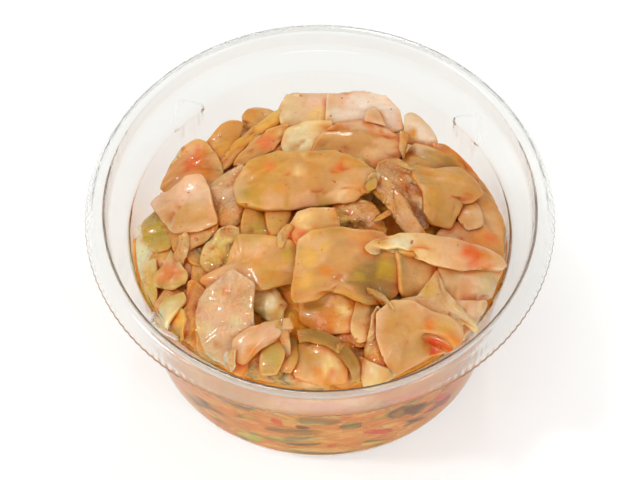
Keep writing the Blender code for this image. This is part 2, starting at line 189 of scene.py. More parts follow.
# How pieces lie on one another
PILE_STEP = 1.0
PILE_HALF = 56
SAG_CELLS = 4
DEEP_GAP = 7.0
GAP_SPAN = 3.0
SQUEEZE = 1.5
SEED_STEP = 7.3

# Pieces that no name is given to
FILL_COUNT = 50
FILL_RADIUS = 35.0
BACK_REACH = 25.0
FILL_SEED = 25
FILL_SINK = 1.0
FILL_FIRST_SEED = 400.0
LOWER_COUNT = 36
RING_COUNT = 26
RING_FIRST = 212.0
RING_LAST = 376.0
SHRED_SEED = 8
SHRED_FIRST_SEED = 1300.0
SHRED_LIFT = 0.5
SHRED_EDGE = 5.0
LEFT_EDGE = -35.0
LEFT_SHORT = -4.0
COVERED = 0.0
UNDER_OTHERS = 5.0
WALL_ROWS = (4.0, 8.0, 12.0, 16.0, 20.0, 25.0, 30.0)
WALL_PIECES_A_ROW = 12
WALL_SEED = 19
WALL_FIRST_SEED = 900.0
WALL_PIECE_DEPTH = 6.0
WALL_RIM_SINK = 0.5
WALL_RIM_POWER = 24
WALL_EDGED = 0.5
STREAK_ALONG = 0.12
STREAK_ACROSS = 0.6

# Flakes and drops on the heap
TOPPING_SEED = 31
TOPPING_REACH = 36.0
ABOVE_HEAP = 80.0

# Oil in the gaps, painted as a darker orange tint that is partly oil and partly painted shade where
# pieces close in, and what shows through thin edges
RAY_COUNT = 14
RAY_START = 0.12
LOWEST_RAY = 0.15
OPEN_SHARE = 0.20
CLOSED_SPAN = 0.45
WET_IN_GAPS = 0.35
SHEET_DEPTH = 2.2
BELOW_REACH = 7.0
RED_LEFT = 0.92
GREEN_LEFT = 0.42
BLUE_LEFT = 0.12

# Colours as they look in plain daylight, in parts of 255
COLOURS = {
    "tan": (204, 150, 80),
    "pinkish": (224, 174, 124),
    "pale": (222, 194, 148),
    "clear": (226, 208, 186),
    "pink": (234, 192, 158),
    "dull_tan": (192, 138, 72),
    "amber": (208, 150, 44),
    "cream": (242, 204, 132),
    "yellow": (228, 176, 70),
    "white": (238, 222, 176),
    "olive": (146, 104, 8),
    "green": (166, 136, 30),
    "leaf": (182, 150, 24),
    "pale_green": (190, 166, 84),
    "grey_green": (174, 142, 78),
    "moss": (138, 102, 28),
    "orange": (220, 130, 26),
    "red_orange": (228, 98, 20),
    "chili": (214, 72, 0),
    "fleck": (222, 108, 0),
    "oil": (198, 104, 12),
    "deep_oil": (140, 54, 0),
    "wall_tan": (222, 132, 40),
    "wall_pale": (232, 176, 88),
    "wall_green": (172, 176, 66),
    "wall_olive": (142, 96, 14),
}


@dataclass
class Piece:
    """One cabbage piece: a sheet with a rounded outline, bent and laid on the heap.

    Sizes are in millimetres and angles in degrees.  outline, if there is one, holds the
    corners as (x, y) or (x, y, rise): a corner with no rise rests on what is below it.
    A piece that stands is seen as high as its corners rise.
    """

    name: str
    x: float
    y: float
    lift: float
    length: float
    width: float
    yaw: float = 0.0
    pitch: float = 0.0
    roll: float = 0.0
    thick: float = 2.6
    square: float = 0.65
    arc: float = 0.0
    ragged: float = 0.10
    wave: float = 0.5
    cells: tuple = (4, 4)
    outline: tuple = ()
    stands: bool = False


def cut(name, lift, thick, outline, **rest):
    """A piece with its own outline; lift is how far its middle stands above its rim."""
    across = [corner[0] for corner in outline]
    back = [corner[1] for corner in outline]
    return Piece(name, sum(across) / len(across), sum(back) / len(back), lift,
                 max(across) - min(across), max(back) - min(back), thick=thick,
                 outline=outline, **rest)


# From the bottom of the heap to its top
PIECES = (
    # the back
    cut("back_olive_tip", 0, 1.4, ((-17.3, 21.3), (-14.5, 22), (-12, 21.3), (-14, 19.8))),
    cut("back_left_tan", 0.4, 1.8, (
        (-25, 16.5, 1), (-21.5, 20, 3), (-19.5, 21, 3), (-17, 21, 1.2), (-18, 16),
        (-21.5, 10.5), (-24.5, 11.5)), stands=True),
    cut("back_strip", 0.6, 2.0, (
        (-22, 10), (-20, 9.8), (-15.5, 14.5), (-11, 18.5), (-8, 22, 0.5), (-9.5, 24, 0.8),
        (-13.5, 20.8), (-18, 17)), stands=True),
    cut("back_pale_strip", 0.4, 1.6, (
        (-19, 9), (-15, 8.5), (-9, 11), (-7.5, 14), (-11, 14), (-15.5, 12))),
    cut("back_tall", 0.3, 2.0, (
        (-6.5, 28, 4), (-2, 29.5, 2.6), (3, 29, 2.5), (3.5, 20, 0.5), (-2, 18.5), (-8, 20),
        (-8.5, 24.5, 1)), stands=True),
    cut("back_pale", 0.4, 2.2, (
        (2.5, 29, 2.5), (9, 27, 5.3), (14, 25, 6.2), (16.5, 22.5, 4.8), (17.5, 19, 2.2),
        (13, 17, 1), (7, 18), (2, 19.5)), stands=True),
    cut("back_orange_strip", 0.6, 1.8, (
        (-18.5, 10.5), (-16, 10), (-10.5, 13), (-7.5, 17.5), (-7.5, 20.5, 0.5), (-11, 19),
        (-15, 15.5))),
    cut("back_cream", 0.5, 2.0, (
        (-3, 20.5, 1), (2, 20.5, 1), (2.5, 16.5), (-0.5, 10.5), (-6.5, 10), (-8, 14.5),
        (-7, 18.5, 0.6))),
    cut("clear_tip", 0.4, 1.6, (
        (18.5, 18, 1), (18.6, 21, 4.5), (19.8, 22, 5.3), (21.7, 21, 5), (23.6, 19.5, 4),
        (25, 17.5, 2.8), (25.3, 15, 1), (22, 14.5), (19.5, 14.5)), stands=True),
    cut("orange_slice", 0.2, 1.8, (
        (25, 16, 2), (27.5, 16, 2.6), (30, 14.8, 3.5), (32.7, 12.5, 3.5), (35.3, 10, 3),
        (36, 7, 1.5), (33, 6), (29, 9), (25, 13)), stands=True),
    cut("right_wall_slab", 0.2, 1.8, (
        (35, 10.5, 2.5), (36.8, 7, 2), (38.4, 3, 1.5), (39.3, -2, 0.5), (38.5, -8), (34, -8),
        (32.5, -2), (33, 6)), stands=True),
    cut("olive_slab", 0.4, 2.0, (
        (18.3, 11.5), (19, 14.5), (21, 16.5, 0.8), (24.5, 16.3, 1), (29, 14.5, 1.8),
        (31, 12, 1.4), (29, 8), (24.5, 7), (19.5, 8.5))),
    cut("back_oval", 0.8, 2.0, (
        (-1.5, 10.5), (0, 15.3), (2, 18.3, 0.6), (5.3, 20.3, 1), (9.6, 21, 1.4),
        (13.5, 19.5, 1.6), (16.5, 18, 1.5), (17.8, 14.5, 0.8), (16, 11.8), (12, 9), (5, 8))),
    cut("back_knob", 0.3, 1.6, (
        (9.5, 20.5, 1.8), (10.5, 22, 3.4), (11.7, 22.5, 4.2), (13, 21.5, 3.4),
        (13.8, 19.3, 2)), stands=True),
    # the left
    cut("left_band", 0.2, 1.6, (
        (-39.6, -2), (-37.5, -2.5), (-35.5, -7), (-35, -13), (-35, -19), (-36.3, -22.5),
        (-38.5, -17), (-39.8, -10))),
    cut("left_leaf", 0.5, 1.2, (
        (-38.3, -1.5), (-37.2, 0.8), (-35.5, 1.5), (-33, -1.5), (-30.5, -3.5), (-30, -6.5),
        (-32.5, -8.5), (-35.3, -8.5), (-37.5, -5.5)), wave=1.0),
    cut("left_crumple", 0.8, 1.4, (
        (-31.8, -9.8), (-29.9, -13), (-28.2, -15.5), (-28.4, -17.5), (-31.4, -18.2),
        (-34.8, -16.8), (-35.2, -14.8), (-33.3, -12.8)), wave=1.4),
    cut("left_orange", 0.5, 2.0, (
        (-27.6, -17), (-24, -20.7), (-23, -26), (-22, -30.3), (-22, -34), (-26, -33),
        (-29, -29.5), (-28.4, -24.5), (-28, -21))),
    cut("left_yellow", 0.8, 2.0, (
        (-31, -22.5), (-28.8, -23), (-28.2, -25.5), (-29.3, -29), (-31.4, -28),
        (-32.5, -26))),
    cut("left_white", 1.0, 2.2, (
        (-32, -20.3), (-29, -19.8), (-28.2, -21.5), (-30.1, -23.3), (-32.3, -25.3),
        (-34, -24.8), (-34.3, -22.8), (-33.5, -21.3))),
    cut("left_loop", -0.6, 1.6, (
        (-34, 9, 0.5), (-33, 13, 2), (-31.6, 15, 4), (-29.7, 16, 5.5), (-27.5, 16.5, 4.5),
        (-25, 15.5, 3), (-23, 13, 1.5), (-21.5, 8.5), (-23.5, 5), (-27.5, 3),
        (-33, 4.5)), stands=True),
    cut("left_pink", 0.8, 2.0, (
        (-24, 4.5), (-19.5, 8), (-16.5, 9), (-15, 4.5), (-16, 0.5), (-16, -3), (-17.8, -5.5),
        (-21, -5), (-23.5, -1)), wave=1.0),
    cut("left_fold", 0.8, 2.0, (
        (-32, -2.5), (-27, -2), (-22, -3.5), (-22.3, -7), (-24.5, -9), (-28, -10),
        (-31, -9.5)), wave=1.0),
    cut("left_slab", 0.8, 2.0, (
        (-36, 5), (-31.4, 6.5, 1.5), (-28.8, 8.8, 2.4), (-25.6, 8.2, 2.4), (-24.2, 4.5, 2),
        (-23.3, -0.5, 1.2), (-22, -4.3), (-26, -5.5), (-31, -5), (-33.5, -1), (-35.5, 3))),
    # the middle
    cut("amber_bit", 0.6, 2.0, (
        (3, -2.5), (7, -0.5, 1.4), (11, -1, 1.4), (12.5, -4, 1.2), (13.5, -8, 1), (11, -10),
        (5, -9), (3, -6, 0.8)), wave=1.2),
    cut("pink_lump", 0.4, 2.0, (
        (13, 9.5, 1.2), (17, 11, 1), (19.5, 9, 1.6), (22.5, 5, 1.6), (23, 0, 1.4), (22.5, -6),
        (20, -5), (18, -1, 1.6), (16, 3.5, 1.8), (12.5, 6.5, 1.4)), wave=1.2),
    cut("green_stalk", 0.6, 2.2, (
        (-15.2, -1), (-12.2, -1.3), (-11.3, -6), (-10, -9), (-11.8, -11.3), (-15.2, -11.3),
        (-16.7, -8.5), (-16.5, -5)), wave=0.9),
    cut("middle_tongue", 0.4, 2.4, (
        (-11.8, 0), (-7, 0), (-6.3, -4.3), (-7.5, -7.5), (-8.8, -9.3), (-10.5, -9.3),
        (-11.3, -6))),
    cut("right_under", 0.3, 1.8, (
        (28, -3.5), (35, -3), (38.7, -6), (38.2, -9.5), (30, -9.5), (25, -8))),
    cut("right_cube", 0.5, 2.2, (
        (30.2, 2), (33, 3), (34.5, 1.5), (34.7, -2.5), (31.5, -4.5), (29.7, -2.5))),
    cut("right_upper_slab", 0.6, 2.2, (
        (20, 9.3), (24.5, 9.4), (29.5, 11.3, 1.2), (33, 9.5, 1.8), (34.3, 6, 1.4), (32, 3),
        (30.3, 2.5), (29, -1.5), (28, -4.5), (24, -4.3), (22.5, -1.5), (22.3, 3.5),
        (20.5, 6.5))),
    cut("cross_strip", 0.8, 2.0, (
        (9, 8), (12, 7, 2), (15, 4.8, 2.4), (17.5, 0.5, 2.4), (20, -4, 2.2), (23, -9, 1.5),
        (19.5, -9.5, 1), (16.5, -5.5, 1.8), (13.5, -0.5, 2), (10, 3, 1.6)), wave=0.8),
    cut("upper_long", 0.8, 3.4, (
        (-14, 9.5, 2.2), (-8, 11.5, 2.8), (2.5, 11.3, 3), (7, 9.8, 2.8), (10, 7, 2.2),
        (10.5, 3, 1), (5, -0.7), (0, -1.5), (-6, -2.5), (-11, -2.2), (-16, -0.5), (-17, 4))),
    cut("ruffled_knob", 0.9, 1.6, (
        (-24.2, -10.5), (-21.6, -7), (-19.5, -6.3), (-17.5, -7.5), (-17, -10.5), (-17, -14),
        (-20, -16.2), (-23, -16.2), (-25, -14), (-24.8, -12)), wave=1.8),
    cut("ribbed_bit", 0.6, 2.4, (
        (-14, -20), (-10.5, -20), (-9, -22.5), (-9, -25), (-7, -25.5), (-7.3, -27.5),
        (-9.5, -28.8), (-11.5, -27.5), (-14.5, -25)), wave=0.8),
    cut("flat_left_slab", 0.7, 2.2, (
        (-17, -9, 1.5), (-13, -9.5, 1.5), (-9, -10.5, 1.5), (-5, -11.5, 1), (-3.8, -14.5, 1),
        (-4.5, -18), (-7, -20), (-12, -21), (-16, -20.5), (-21, -20), (-25.5, -21.5),
        (-24.5, -17.5), (-19, -15))),
    cut("cream_block", 0.8, 3.0, (
        (-6, -7.8), (-4.5, -4.5, 1.5), (-1, -3.3, 2), (2.5, -3.5, 2), (3.5, -7, 2),
        (3, -12.5, 1), (-3, -13.5), (-5.2, -11))),
    cut("below_middle", 0.5, 2.2, (
        (-4, -22), (3, -20), (9, -22), (9.5, -27), (6, -30), (0, -31), (-3.5, -28)), wave=1.0),
    cut("grey_green_slab", 0.4, 2.0, (
        (8, -23), (13, -22.5), (12.5, -27), (10.5, -31), (8, -32.5), (6.5, -30))),
    cut("middle_slab", 1.0, 3.0, (
        (-3.5, -11, 2), (-1, -9, 2.5), (5, -8.7, 2.5), (12.5, -9.3, 2), (15.5, -12, 1.6),
        (16.3, -17, 1.2), (15.3, -21.5, 0.6), (12.5, -24), (9, -24), (5.5, -22.3),
        (2.5, -21.8), (0, -23.6, 0.8), (-5, -23.8, 1.2), (-4.3, -18, 1.6))),
    # the right and the front
    cut("right_back_sheet", 0.4, 1.8, (
        (16, -11.5), (20, -10.5), (27, -12), (27, -19), (25, -24.5), (19, -24), (17, -21),
        (16.8, -16))),
    cut("right_wide", 0.5, 2.0, (
        (25, -12), (31, -12.5), (38, -12), (38.5, -17), (34.5, -19.5), (31, -23),
        (27, -23), (26, -18))),
    cut("right_low_slab", 0.4, 1.8, (
        (27, -22), (33, -23), (36, -20), (37, -22), (33.5, -26.5), (29.5, -29.5),
        (26, -28))),
    cut("right_peak", 0.4, 1.8, (
        (16, -23.5), (20.5, -22), (22.5, -19.5), (24.7, -16, 1.6), (26, -20), (29, -24.5),
        (33, -25.5), (30, -28), (22, -28))),
    cut("wet_bits", 0.6, 1.8, (
        (12, -25), (13.5, -27), (13, -31), (14.5, -36), (12, -38.5), (9.5, -35), (10, -31),
        (11, -27)), wave=1.2),
    cut("front_pale", 0.3, 1.6, (
        (8.5, -35), (13, -37), (17, -37), (14.5, -39.5), (10, -40.5), (8, -38))),
    cut("right_big_slab", 0.6, 2.0, (
        (12.5, -26.5, 1), (15.5, -23.8, 1.6), (19, -23.5, 1.6), (23, -25, 1.2),
        (27.5, -25.5), (29.3, -28), (27.5, -30.3), (24, -32.3), (20, -34.5), (15.5, -37),
        (14, -35), (12.5, -31))),
    cut("right_long", 0.9, 2.4, (
        (10.5, -12, 3), (13, -10, 3.4), (17.5, -8.5, 3.4), (22.5, -8, 3), (29, -8, 2.4),
        (34.5, -8.5, 1.6), (38, -10), (37, -12), (33.5, -13), (29, -14.3), (24, -14.3),
        (20, -13, 1), (15, -13, 2), (11, -13.2, 2.8))),
    cut("arc_inside", 0.4, 2.0, (
        (-5.5, -33.5), (1, -33), (5, -36), (5.5, -39.5), (0, -40), (-5, -39))),
    cut("front_olive", 0.4, 1.8, (
        (-8, -32), (-5, -32), (-4.6, -36), (-6, -38), (-8.5, -37.5))),
    cut("front_green", 0.6, 2.0, (
        (-12.3, -34), (-9.5, -31.5), (-7.4, -32.5), (-7.5, -35.3), (-9, -38), (-12.5, -38))),
    cut("pink_slab", 0.7, 2.0, (
        (-18.4, -17.3, 2), (-14.3, -20.3, 2.2), (-14.5, -26.5, 2), (-13.8, -30, 1),
        (-15.5, -34), (-19.4, -35), (-22.4, -33.5), (-24.6, -29.8), (-25.5, -26),
        (-25, -22.5), (-22.5, -19.8, 1)), wave=0.8),
    cut("front_strip", 0.4, 1.6, (
        (-18, -33), (-14.5, -33), (-15.5, -37), (-18.5, -38.3))),
    cut("pink_arm", 0.7, 1.8, (
        (-17.5, -31), (-14, -29), (-10.5, -28.5, 1), (-7, -28, 1.4), (-5.8, -30, 1.4),
        (-8.5, -31.5), (-12.5, -33), (-15.5, -35.5), (-17.5, -34.5))),
    cut("front_white", 0.6, 1.6, (
        (-20.3, -33.3), (-17.6, -33), (-17.7, -36), (-19.8, -36.8)), wave=1.2),
    Piece("olive_arc", 3.8, -33.6, 2.6, 22, 2.5, yaw=-38, thick=2.0, arc=0.10, ragged=0.04,
          cells=(10, 1)),
)


@dataclass
class Look:
    """Kind and colours of one piece, seen from above.

    The colour goes from tone to far in the direction way, in degrees from +X.  spots hold
    (x, y, radius, colour), placed as the outlines are.
    """

    kind: str
    tone: str
    far: str = ""
    way: float = 0.0
    edge: str = "orange"
    spots: tuple = ()
    wet: float = 0.08
    plain: float = 0.0


LOOKS = {
    # The two yellow spots near middle_slab's left border are a painted highlight on its lit left
    # side.
    "middle_slab": Look("slabs", "tan", "dull_tan", -25, "amber", (
        (-1.5, -13, 3.0, "pinkish"), (-2.5, -15, 2.0, "yellow"), (-3, -20, 1.6, "yellow"),
        (11.5, -19.5, 4.4, "moss"), (14, -16, 3.0, "moss"), (13.5, -13, 1.5, "oil"),
        (1, -18, 1.1, "orange"), (1, -12, 0.9, "yellow"), (7.5, -19, 0.9, "leaf"),
        (10, -10.5, 1.6, "orange"), (13.5, -17, 1.8, "leaf"))),
    "cream_block": Look("slabs", "cream", "tan", -20, "pinkish", (
        (-5, -9.5, 1.3, "red_orange"), (-4.6, -11.5, 1.6, "red_orange"),
        (-1.2, -9, 1.0, "yellow"), (2.8, -5, 1.2, "orange"))),
    # The three pinkish spots along upper_long's front edge are a painted highlight: the lighter
    # front face that the front light falls on.
    "upper_long": Look("slabs", "amber", "tan", -10, "leaf", (
        (-10.5, 7.8, 1.1, "fleck"), (-4.5, 6.5, 0.8, "cream"), (3.9, 7.6, 1.0, "fleck"),
        (-13.5, 6, 1.6, "amber"), (-10, -1, 2.0, "pinkish"), (-3.5, -1.5, 2.4, "pinkish"),
        (4, 0.5, 2.2, "pinkish"), (-16.3, 1, 1.4, "green"), (1, 4, 2.0, "tan"))),
    "middle_tongue": Look("slabs", "tan", "amber", -90),
    "green_stalk": Look("strips", "tan", "green", -60, "leaf", (
        (-13.8, -8.8, 1.6, "leaf"), (-12.2, -5, 1.2, "green"))),
    "ruffled_knob": Look("leaves", "cream", "yellow", -60, "cream", (
        (-20.5, -12, 1.2, "yellow"), (-19.5, -14.5, 1.4, "leaf")), 0.6),
    "flat_left_slab": Look("slabs", "amber", "pinkish", 200, "tan", (
        (-5.8, -13.6, 2.0, "leaf"), (-4.8, -12, 1.0, "green"), (-24, -18.5, 2.2, "orange"),
        (-22, -18, 2.0, "pinkish"), (-10, -14, 1.8, "tan"))),
    "back_oval": Look("slabs", "tan", "pinkish", 0, "oil", (
        (4.5, 19.5, 1.6, "oil"), (12, 18.5, 1.8, "orange"), (0.5, 14.5, 1.0, "oil"),
        (9, 15, 2.4, "tan"))),
    "back_pale": Look("slabs", "clear", "clear", 0, "pink", ((4, 26, 2.4, "pink"),), plain=1.0),
    "back_tall": Look("slabs", "pale", "pink", 0, "pale", ((0, 21, 2.4, "cream"),), plain=0.6),
    "back_knob": Look("slabs", "orange", "tan", 90, "amber"),
    "back_cream": Look("slabs", "cream", "white", 200, "cream", (
        (1, 19.5, 1.2, "orange"), (-4, 14.5, 1.6, "white"))),
    "back_strip": Look("strips", "amber", "yellow", 40, "tan"),
    "back_pale_strip": Look("strips", "pale_green", "cream", 30, "yellow"),
    "back_orange_strip": Look("strips", "orange", "tan", -140, "orange", (
        (-11.5, 14.8, 1.8, "red_orange"), (-8, 18, 1.2, "cream"))),
    "back_left_tan": Look("slabs", "tan", "amber", -60, "tan"),
    "back_olive_tip": Look("leaves", "grey_green", "olive", 0, "olive"),
    "left_loop": Look("leaves", "tan", "pinkish", 120, "tan", (
        (-26.6, 11, 2.6, "red_orange"), (-24.5, 9.5, 2.0, "orange"), (-23, 7.5, 1.8, "oil"))),
    "left_pink": Look("leaves", "pink", "pinkish", -90, "pink", (
        (-17.5, 5.5, 2.0, "pinkish"), (-20.5, -4, 1.8, "orange"), (-16.6, 7.5, 1.0, "cream")),
        0.9),
    "left_slab": Look("slabs", "pink", "tan", -70, "pink", ((-27, 5, 3.0, "pink"),), plain=0.5),
    "left_fold": Look("leaves", "amber", "tan", -90, "amber", wet=0.3),
    "left_leaf": Look("leaves", "leaf", "yellow", -60, "leaf", (
        (-36.3, -0.4, 1.8, "green"), (-34.5, -6, 1.5, "leaf")), 0.4),
    "left_band": Look("leaves", "white", "yellow", -90, "cream", wet=0.4, plain=1.0),
    "left_crumple": Look("leaves", "pinkish", "yellow", -60, "cream", (
        (-32, -14.5, 1.8, "red_orange"), (-33.5, -16, 1.2, "red_orange"))),
    "left_white": Look("slabs", "white", "pale_green", 60, "white", plain=1.0),
    "left_yellow": Look("slabs", "yellow", "amber", -90, "yellow"),
    "left_orange": Look("leaves", "orange", "yellow", -60, "red_orange", wet=0.5),
    "pink_slab": Look("leaves", "pink", "pink", 10, "clear", (
        (-16.5, -22, 2.6, "pinkish"), (-17, -28, 1.4, "white"), (-20, -21, 0.9, "fleck"),
        (-16.5, -31, 1.2, "amber"), (-24, -28, 1.4, "white")), 0.5, 0.6),
    "pink_arm": Look("strips", "pinkish", "pink", 20, "tan", ((-14, -33.5, 1.2, "orange"),),
                     plain=0.5),
    "front_strip": Look("strips", "yellow", "orange", -60, "orange"),
    "ribbed_bit": Look("strips", "cream", "grey_green", 120, "olive", (
        (-10.8, -24.5, 1.2, "white"), (-9.5, -27.5, 1.0, "amber"), (-13, -22, 1.4, "olive"))),
    "front_green": Look("slabs", "pale_green", "green", -90, "cream"),
    "front_olive": Look("slabs", "green", "tan", -90, "olive"),
    "front_white": Look("leaves", "white", "pinkish", 0, "white", wet=1.0),
    "below_middle": Look("slabs", "tan", "orange", -60, "orange", (
        (5, -26.3, 1.2, "cream"), (7, -25.3, 1.0, "orange"), (0, -29.5, 1.6, "orange")),
        0.3),
    "grey_green_slab": Look("slabs", "grey_green", "pinkish", -90, "tan"),
    "olive_arc": Look("strips", "moss", "olive", 0, "olive", plain=1.0),
    "arc_inside": Look("slabs", "pinkish", "tan", 90, "orange", (
        (-1, -34.6, 1.8, "amber"), (1, -39, 2.0, "orange"), (2, -36.8, 1.2, "cream"))),
    "front_pale": Look("slabs", "pale", "cream", -90, "pale"),
    "wet_bits": Look("leaves", "pinkish", "orange", -90, "cream", wet=1.0),
    "right_long": Look("slabs", "cream", "pinkish", 0, "pale", (
        (13, -10.3, 1.2, "amber"), (32, -10.8, 2.4, "red_orange"), (35, -11.3, 1.4, "orange"),
        (17, -11.5, 2.2, "white"))),
    "right_under": Look("slabs", "pinkish", "orange", -30, "orange", (
        (36, -5.5, 1.2, "red_orange"),)),
    "right_back_sheet": Look("slabs", "pinkish", "tan", -90, "orange"),
    "right_peak": Look("leaves", "pinkish", "pale", -30, "cream", (
        (22.8, -20.3, 1.3, "yellow"), (20, -21.8, 1.0, "white")), 0.4),
    "right_wide": Look("slabs", "pinkish", "pink", 0, "pink", (
        (31.8, -21.3, 1.8, "oil"), (34.5, -19.3, 1.0, "oil"), (35.5, -15.5, 2.4, "pale"))),
    "right_big_slab": Look("slabs", "tan", "dull_tan", 180, "pink", (
        (23.4, -30.6, 1.1, "chili"), (24.2, -32, 1.0, "chili"), (22.8, -27.3, 1.0, "fleck"),
        (26.3, -26.8, 1.8, "amber"), (27.5, -29.5, 1.5, "orange"), (17, -28, 3.0, "tan"))),
    "right_low_slab": Look("slabs", "pink", "pale", 0, "pink"),
    "cross_strip": Look("strips", "tan", "pinkish", -60, "leaf", (
        (12.5, 5.5, 1.0, "white"), (11, 3, 1.4, "leaf"), (16, -1.5, 1.4, "tan")), 0.5),
    "amber_bit": Look("leaves", "pinkish", "orange", 0, "amber", (
        (4.5, -5, 1.3, "leaf"), (10.5, -5.5, 1.6, "pinkish")), 0.9),
    "pink_lump": Look("leaves", "pinkish", "pink", -70, "orange", (
        (15, 8.5, 1.5, "pinkish"), (17.8, 4.5, 1.6, "oil"), (19.5, -1, 1.5, "pinkish")), 0.9),
    "right_upper_slab": Look("slabs", "amber", "tan", 0, "tan", (
        (31.8, 4.6, 1.2, "oil"), (28, 2, 2.6, "tan"), (27.5, -3.5, 1.0, "leaf"))),
    "olive_slab": Look("slabs", "tan", "grey_green", 0, "amber", (
        (28.2, 12.2, 2.0, "moss"), (24, 13.5, 1.6, "grey_green"))),
    "clear_tip": Look("slabs", "clear", "clear", 110, "pale", ((20, 18.2, 1.0, "amber"),),
                      plain=1.0),
    "orange_slice": Look("slabs", "orange", "amber", 45, "red_orange"),
    "right_wall_slab": Look("slabs", "tan", "pinkish", -90, "orange"),
    "right_cube": Look("slabs", "tan", "pinkish", 0, "pale"),
}

# Pieces pressed to the front of the wall: x is the azimuth in degrees, y the height
PRESSED = (
    (Piece("red_bit", -103.5, 18.5, 0, 4, 3, yaw=-50), Look("", "red_orange", "chili")),
    (Piece("red_dot", -86, 8, 0, 2.6, 2, yaw=10), Look("", "chili", "red_orange")),
    (Piece("olive_streak", -113.5, 16.5, 0, 8, 2, yaw=38), Look("", "wall_olive", "amber")),
    (Piece("brown_bit", -95.5, 17.5, 0, 4, 2.4, yaw=5), Look("", "wall_olive", "deep_oil")),
    (Piece("red_streak", -71, 11, 0, 10, 2.6, yaw=-32), Look("", "red_orange", "chili")),
    (Piece("olive_corner", -80.5, 17.5, 0, 7, 5, yaw=-30), Look("", "wall_olive", "amber")),
    (Piece("yellow_patch", -72.5, 5.5, 0, 8, 3.6, yaw=-30), Look("", "yellow", "amber")),
    (Piece("green_patch", -113.5, 6, 0, 9, 5, yaw=30), Look("", "wall_green", "wall_pale")),
    (Piece("leaf_band", -98, 10.5, 0, 17, 2.6, yaw=15), Look("", "wall_pale", "pale_green")),
    (Piece("leaf_line", -97, 8, 0, 14, 1.4, yaw=13), Look("", "wall_olive", "wall_pale")),
    (Piece("far_red", -46, 10, 0, 12, 5, yaw=-60), Look("", "chili", "red_orange")),
    (Piece("right_red_line", -56, 8, 0, 9, 2, yaw=-40), Look("", "chili", "orange")),
    (Piece("right_red_band", -55, 13, 0, 18, 5, yaw=-45), Look("", "red_orange", "orange")),
    (Piece("right_edge_band", -43, 16, 0, 14, 7, yaw=-60), Look("", "orange", "red_orange")),
    (Piece("right_tan", -61, 16, 0, 14, 7, yaw=-35), Look("", "orange", "oil")),
    (Piece("low_tan", -90, 4.5, 0, 20, 5, yaw=2), Look("", "wall_tan", "wall_pale")),
    (Piece("middle_pale", -90, 21, 0, 12, 6, yaw=5), Look("", "wall_pale", "wall_tan")),
    (Piece("left_tan", -124, 13, 0, 16, 4.5, yaw=30), Look("", "wall_tan", "orange")),
    (Piece("left_orange_wall", -134, 9, 0, 14, 5, yaw=45), Look("", "orange", "pinkish")),
    (Piece("left_low", -127, 5, 0, 12, 4, yaw=25), Look("", "wall_tan", "orange")),
    (Piece("middle_band", -98, 14.5, 0, 16, 4, yaw=8), Look("", "orange", "wall_tan")),
    (Piece("left_high", -118, 21, 0, 14, 5, yaw=20), Look("", "pinkish", "wall_tan")),
    (Piece("right_high", -62, 23, 0, 18, 7, yaw=-25), Look("", "orange", "red_orange")),
)


@dataclass
class Kind:
    """How pieces of one kind are shaped: shares of the food's own settings."""

    title: str
    thinner: float
    limp: float
    folded: float
    ragged: float


KINDS = {
    "slabs": Kind("thick_cabbage_slabs", 0.1, 0.3, 0.35, 0.3),
    "leaves": Kind("soft_leaf_pieces", 0.4, 1.0, 1.0, 1.0),
    "strips": Kind("cabbage_strips", 0.1, 0.6, 0.4, 0.3),
}
FILL_TONES = ("tan", "amber", "pinkish", "cream", "tan", "orange")
WALL_TONES = ("wall_tan", "wall_pale", "orange", "wall_tan", "red_orange", "wall_pale",
              "wall_pale", "amber", "orange", "orange")
SHRED_TONES = ("pinkish", "cream", "orange", "tan", "orange", "amber", "pinkish")


# Shapes

def linear(name):
    """A named colour as the linear values that materials take."""
    shares = (part / 255 for part in COLOURS[name])
    return Vector([share / 12.92 if share <= 0.04045 else ((share + 0.055) / 1.055) ** 2.4
                   for share in shares])


def paint(name):
    """A named colour as a material's socket takes it."""
    return (*linear(name), 1.0)


def smooth(share):
    """A share from 0 to 1 with soft ends."""
    share = max(0.0, min(1.0, share))
    return share * share * (3.0 - 2.0 * share)


def clouds(place, layers=3):
    """Soft noise at a place: layers of it, each finer than the one before."""
    return noise.fractal(place, 1.0, 2.0, layers)


def polar(radius, azimuth):
    """The point (x, y) at a distance from the axis."""
    return radius * math.cos(azimuth), radius * math.sin(azimuth)


def outer_radius(height):
    """Radius of the cup's outer skin at a height, in millimetres."""
    if height < BASE_CORNER:
        rise = BASE_CORNER - height
        return BASE_RADIUS - BASE_CORNER + math.sqrt(BASE_CORNER ** 2 - rise ** 2)
    stops = ((BASE_CORNER, BASE_RADIUS), (SHOULDER_HEIGHT, SHOULDER_RADIUS),
             (COLLAR_HEIGHT, COLLAR_RADIUS), (CUP_HEIGHT, RIM_INNER_RADIUS))
    for (low, inner), (high, outer) in zip(stops, stops[1:]):
        if height <= high:
            return inner + (outer - inner) * (height - low) / (high - low)
    return RIM_INNER_RADIUS


def food_radius(height):
    """How far out the food reaches at a height: just into the cup's wall."""
    return outer_radius(max(height - WALL, 0.0)) - WALL + BITE


def heap_height(x, y):
    """Height of the pieces' mean surface above the point (x, y)."""
    radius = math.hypot(x, y)
    back = max(0.0, y) / radius if radius > 0.0 else 0.0
    crest = CREST_RADIUS + (BACK_CREST_RADIUS - CREST_RADIUS) * back ** BACK_POWER
    fall = FRONT_FALL + (BACK_FALL - FRONT_FALL) * back
    inside = min(radius / crest, 1.0)
    return CROWN - fall * inside ** FALL_POWER - BACK_SLOPE * max(0.0, radius - crest)


def heap_normal(x, y):
    """Upright direction of a piece that lies on the heap at (x, y)."""
    step = 2.0
    along = heap_height(x + step, y) - heap_height(x - step, y)
    across = heap_height(x, y + step) - heap_height(x, y - step)
    tilt = SLOPE_FOLLOWED / (2.0 * step)
    return Vector((-along * tilt, -across * tilt, 1.0)).normalized()


